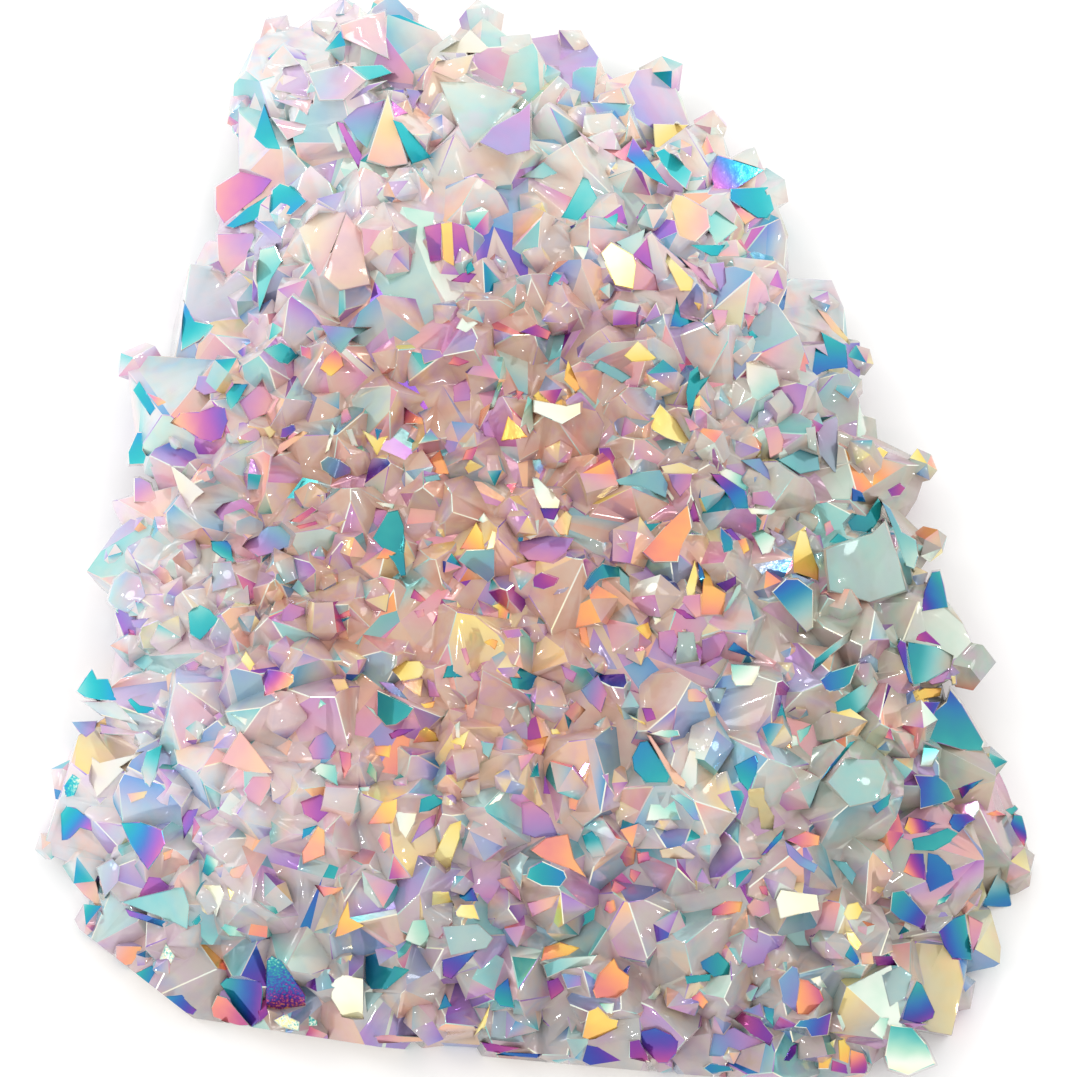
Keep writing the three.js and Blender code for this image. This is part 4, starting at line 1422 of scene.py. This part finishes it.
def paint_vivid(facet, written, name, rng):
    """Lays a full coat over a facet, or over a piece of it, with a straight edge."""
    large = facet.calc_area() > LARGE_FACET
    if facet.calc_area() < LEAST_TO_CUT or (not large and rng.random() < WHOLE_SHARE):
        paint(facet, written, name, (rng.uniform(*WHOLE_START), WHOLE_END), rng)
        return
    cut = cut_corner if rng.random() < CORNER_SHARE else cut_sliver
    piece, rest = cut(facet, rng)
    paint(piece, written, name, CORNER_RUN, rng)
    other = pick_coat(rest, rng) if rng.random() < OTHER_SHARE else name
    if large:
        sliver, rest = cut_sliver(rest, rng)
        paint(sliver, written, other, [rng.uniform(*run) for run in SLIVER_RUN], rng)
    paint(rest, written, other, [rng.uniform(*run) for run in REST_RUN], rng)


def coat(bm, facets, rng, strips=()):
    """Coats a crystal by chance, less where the facets of the table show."""
    written = layers(bm)
    bm.normal_update()
    to_eye = (EYE + TO_CENTRE).normalized()
    vivid = VIVID_SHARE if rng.random() < LIVELY_SHARE else DULL_SHARE
    for facet in sorted(facets, key=lambda face: -face.calc_area()):
        name = pick_coat(facet, rng)
        seen = facet.normal.dot(to_eye) > SEEN_FROM
        if rng.random() < vivid * (SEEN_SHARE if seen else 1):
            paint_vivid(facet, written, name, rng)
        elif rng.random() < PASTEL_SHARE:
            large = facet.calc_area() > LARGE_FACET
            for piece in cut_sliver(facet, rng) if large else [facet]:
                paint(piece, written, pick_coat(piece, rng), rng.choice(PASTEL), rng)
        else:
            paint(facet, written, name, rng.choice(MILKY), rng)
    # The bevelled edges get painted highlights: white or coloured lines, or the milky body.
    for strip in strips:
        paint(strip, written, *rng.choice(EDGE_HIGHLIGHT_COATS), rng)


# ---- finish

class Nodes:
    """Short ways to add nodes to a material and join them."""

    def __init__(self, material):
        material.use_nodes = True
        self.tree = material.node_tree
        self.shader = self.tree.nodes["Principled BSDF"]

    def add(self, kind, inputs=None, **settings):
        node = self.tree.nodes.new(kind)
        for name, value in settings.items():
            setattr(node, name, value)
        for name, value in (inputs or {}).items():
            self.give(node.inputs[name], value)
        return node

    def give(self, socket, value):
        if isinstance(value, bpy.types.NodeSocket):
            self.tree.links.new(value, socket)
        else:
            socket.default_value = value

    def noise(self, place, scale, detail):
        return self.add("ShaderNodeTexNoise", {"Vector": place, "Scale": scale,
                                               "Detail": detail}).outputs["Fac"]

    def attribute(self, name):
        return self.add("ShaderNodeAttribute", attribute_name=name).outputs["Fac"]

    def math(self, operation, *values):
        node = self.add("ShaderNodeMath", operation=operation)
        for socket, value in zip(node.inputs, values):
            self.give(socket, value)
        return node.outputs[0]

    def ramp(self, value, stops, interpolation="EASE"):
        node = self.add("ShaderNodeValToRGB", inputs={"Fac": value})
        node.color_ramp.interpolation = interpolation
        while len(node.color_ramp.elements) < len(stops):
            node.color_ramp.elements.new(0.5)
        for element, (place, colour) in zip(node.color_ramp.elements, stops):
            element.position = place
            element.color = (*colour, 1)
        return node.outputs["Color"]

    def region(self, place, middle, reach):
        """1 at a middle and 0 from a reach away from it, both in millimetres."""
        spot = self.add("ShaderNodeMapping", {"Vector": place}, vector_type="TEXTURE")
        spot.inputs["Location"].default_value = Vector(middle) * MM
        spot.inputs["Scale"].default_value = Vector(reach) * MM
        fade = self.add("ShaderNodeTexGradient", {"Vector": spot.outputs[0]},
                        gradient_type="SPHERICAL")
        soft = self.add("ShaderNodeMapRange", {"Value": fade.outputs["Fac"]},
                        interpolation_type="SMOOTHSTEP")
        soft.inputs["From Max"].default_value = REGION_FULL
        return soft.outputs["Result"]

    def blend(self, share, first, second, way="MIX"):
        node = self.add("ShaderNodeMix", data_type="RGBA", blend_type=way)
        self.give(node.inputs["Factor"], share)
        self.give(node.inputs[6], first)
        self.give(node.inputs[7], second)
        return node.outputs[2]


def coated_quartz():
    """Milky quartz with a coat on it, as the attributes of the mesh say."""
    quartz = bpy.data.materials.new("coated_quartz")
    n = Nodes(quartz)
    place = n.add("ShaderNodeTexCoord").outputs["Object"]
    waver = n.math("SUBTRACT", n.noise(place, *WAVER_NOISE), 0.5)
    order = n.math("ADD", n.attribute("coat_order"), n.math("MULTIPLY", waver, WAVER))
    glitter = n.math("SUBTRACT", n.noise(place, *GLITTER_NOISE), 0.5)
    glitter = n.math("MULTIPLY", glitter, n.attribute("frost"))
    order = n.math("ADD", order, n.math("MULTIPLY", glitter, GLITTER))
    coat, deep_and_shaded = (n.ramp(order, [(stop[0], stop[side]) for stop in COAT.values()], "B_SPLINE")
                  for side in (1, 2))
    cloud = n.noise(place, *CLOUD_NOISE)
    tone = n.math("MULTIPLY", n.math("SUBTRACT", cloud, 0.5), CLOUD_SPREAD)
    tone = n.math("ADD", n.attribute("milk_tone"), tone)
    full = n.add("ShaderNodeMapRange", {"Value": n.attribute("coat_strength")},
                 interpolation_type="SMOOTHSTEP")
    strength = full.outputs["Result"]
    solid = n.math("POWER", strength, DEEP_AND_SHADED_FALL)
    # The milky body by region, partly painted shade: lightest on the left, darker in the middle, on
    # the right and at the front.
    shaded_milk = n.ramp(tone, MILK_AND_SHADE["left"], "LINEAR")
    for name, (middle, reach) in MILK_AND_SHADE_REGIONS.items():
        share = n.region(place, middle, reach)
        shaded_milk = n.blend(share, shaded_milk, n.ramp(tone, MILK_AND_SHADE[name], "LINEAR"))
        # Outside the top the coat turns to its darker deep colours: partly painted shade.
        if name != "top":
            coat = n.blend(n.math("MULTIPLY", share, solid), coat, deep_and_shaded)
    tint = n.ramp(n.noise(place, *HAZE_NOISE), HAZE, "EASE")
    thick = n.add("ShaderNodeMapRange", {"Value": n.noise(place, *PATCH_NOISE)},
                  interpolation_type="SMOOTHSTEP")
    for name, value in HAZE_THICKNESS.items():
        thick.inputs[name].default_value = value
    shaded_milk = n.blend(thick.outputs["Result"], shaded_milk, tint, "MULTIPLY")
    # Painted shade: the milky body darkened towards a warm tint in the creases.
    crease_shade = n.math("MULTIPLY", n.attribute("crease_shade"), CREASE_SHADE_STRENGTH)
    shaded_milk = n.blend(crease_shade, shaded_milk, n.blend(1, shaded_milk, CREASE_SHADE_TINT, "MULTIPLY"))
    colour = n.blend(strength, shaded_milk, coat)
    colour = n.blend(n.attribute("bare"), colour, n.ramp(cloud, RAW, "EASE"))
    shader = n.shader
    n.give(shader.inputs["Base Color"], colour)
    n.give(shader.inputs["Metallic"], n.math("MULTIPLY", strength, COAT_METALLIC))
    shader.inputs["Roughness"].default_value = 0.08
    shader.inputs["IOR"].default_value = 1.544
    shader.inputs["Transmission Weight"].default_value = 0.15
    shader.inputs["Coat Weight"].default_value = 0.45
    shader.inputs["Coat Roughness"].default_value = 0.04
    height = n.math("ADD", n.noise(place, *RELIEF_NOISE),
                    n.math("MULTIPLY", glitter, GLITTER_RELIEF))
    bump = n.add("ShaderNodeBump", {"Strength": RELIEF_STRENGTH, "Distance": RELIEF_DEPTH,
                                    "Height": height})
    n.give(shader.inputs["Normal"], bump.outputs["Normal"])
    return quartz


# ---- studio

ROOM_COLOUR = (1, 0.99, 0.98, 1)
ROOM_STRENGTH = 1.08
# The soft lamps: name, place, size and power.
SOFT_LAMPS = [("soft_left", (-0.5, 0.2, 0.6), 0.35, 0.7),
              ("soft_right", (0.5, 0.3, 0.5), 0.2, 0.3)]
SPARK_LAMPS = 9
SPARKS_AWAY = 0.4
SPARK_HEIGHTS = (0.2, 0.45)
SPARK_SIZE = 0.02
SPARK_POWER = 0.08
FLOOR_SIZE = 3
FLOOR_COLOUR = (0.93, 0.93, 0.93, 1)


def area_light(name, place, size, power):
    lamp = bpy.data.lights.new(name, "AREA")
    lamp.shape = "DISK"
    lamp.size = size
    lamp.energy = power
    holder = bpy.data.objects.new(name, lamp)
    holder.location = place
    way = finished(LOOK_AT) - Vector(place)
    holder.rotation_euler = way.to_track_quat("-Z", "Y").to_euler()
    bpy.context.scene.collection.objects.link(holder)


def studio():
    """A pale, evenly lit room, two soft lamps, and a ring of small ones for the glints."""
    scene = bpy.context.scene
    scene.view_settings.view_transform = "Standard"
    scene.cycles.max_bounces = 5
    scene.cycles.diffuse_bounces = 2
    scene.cycles.glossy_bounces = 2
    scene.cycles.transmission_bounces = 3
    scene.cycles.caustics_reflective = False
    scene.cycles.caustics_refractive = False
    world = bpy.data.worlds.new("studio")
    scene.world = world
    world.use_nodes = True
    background = world.node_tree.nodes["Background"]
    background.inputs["Color"].default_value = ROOM_COLOUR
    background.inputs["Strength"].default_value = ROOM_STRENGTH
    for name, place, size, power in SOFT_LAMPS:
        area_light(name, place, size, power)
    for count in range(SPARK_LAMPS):
        turn = math.tau * count / SPARK_LAMPS
        place = (SPARKS_AWAY * math.cos(turn), SPARKS_AWAY * math.sin(turn),
                 SPARK_HEIGHTS[count % 2])
        area_light(f"spark_{count}", place, SPARK_SIZE, SPARK_POWER)
    bm = bmesh.new()
    bmesh.ops.create_grid(bm, x_segments=1, y_segments=1, size=FLOOR_SIZE)
    floor = mesh_object("floor", bm)
    pale = bpy.data.materials.new("pale_floor")
    pale.use_nodes = True
    shader = pale.node_tree.nodes["Principled BSDF"]
    shader.inputs["Base Color"].default_value = FLOOR_COLOUR
    shader.inputs["Roughness"].default_value = 0.7
    floor.data.materials.append(pale)


def camera():
    lens = bpy.data.cameras.new("camera")
    lens.lens = LENS
    lens.sensor_width = SENSOR
    lens.clip_start = 0.01
    holder = bpy.data.objects.new("camera", lens)
    holder.location = finished(EYE)
    holder.rotation_euler = (math.pi / 2 - ELEVATION, 0, 0)
    bpy.context.scene.collection.objects.link(holder)
    bpy.context.scene.camera = holder


camera()
studio()
cluster = grown_cluster()
cluster.data.materials.clear()
cluster.data.materials.append(coated_quartz())
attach(cluster, "root")
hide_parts("quartz_cluster")
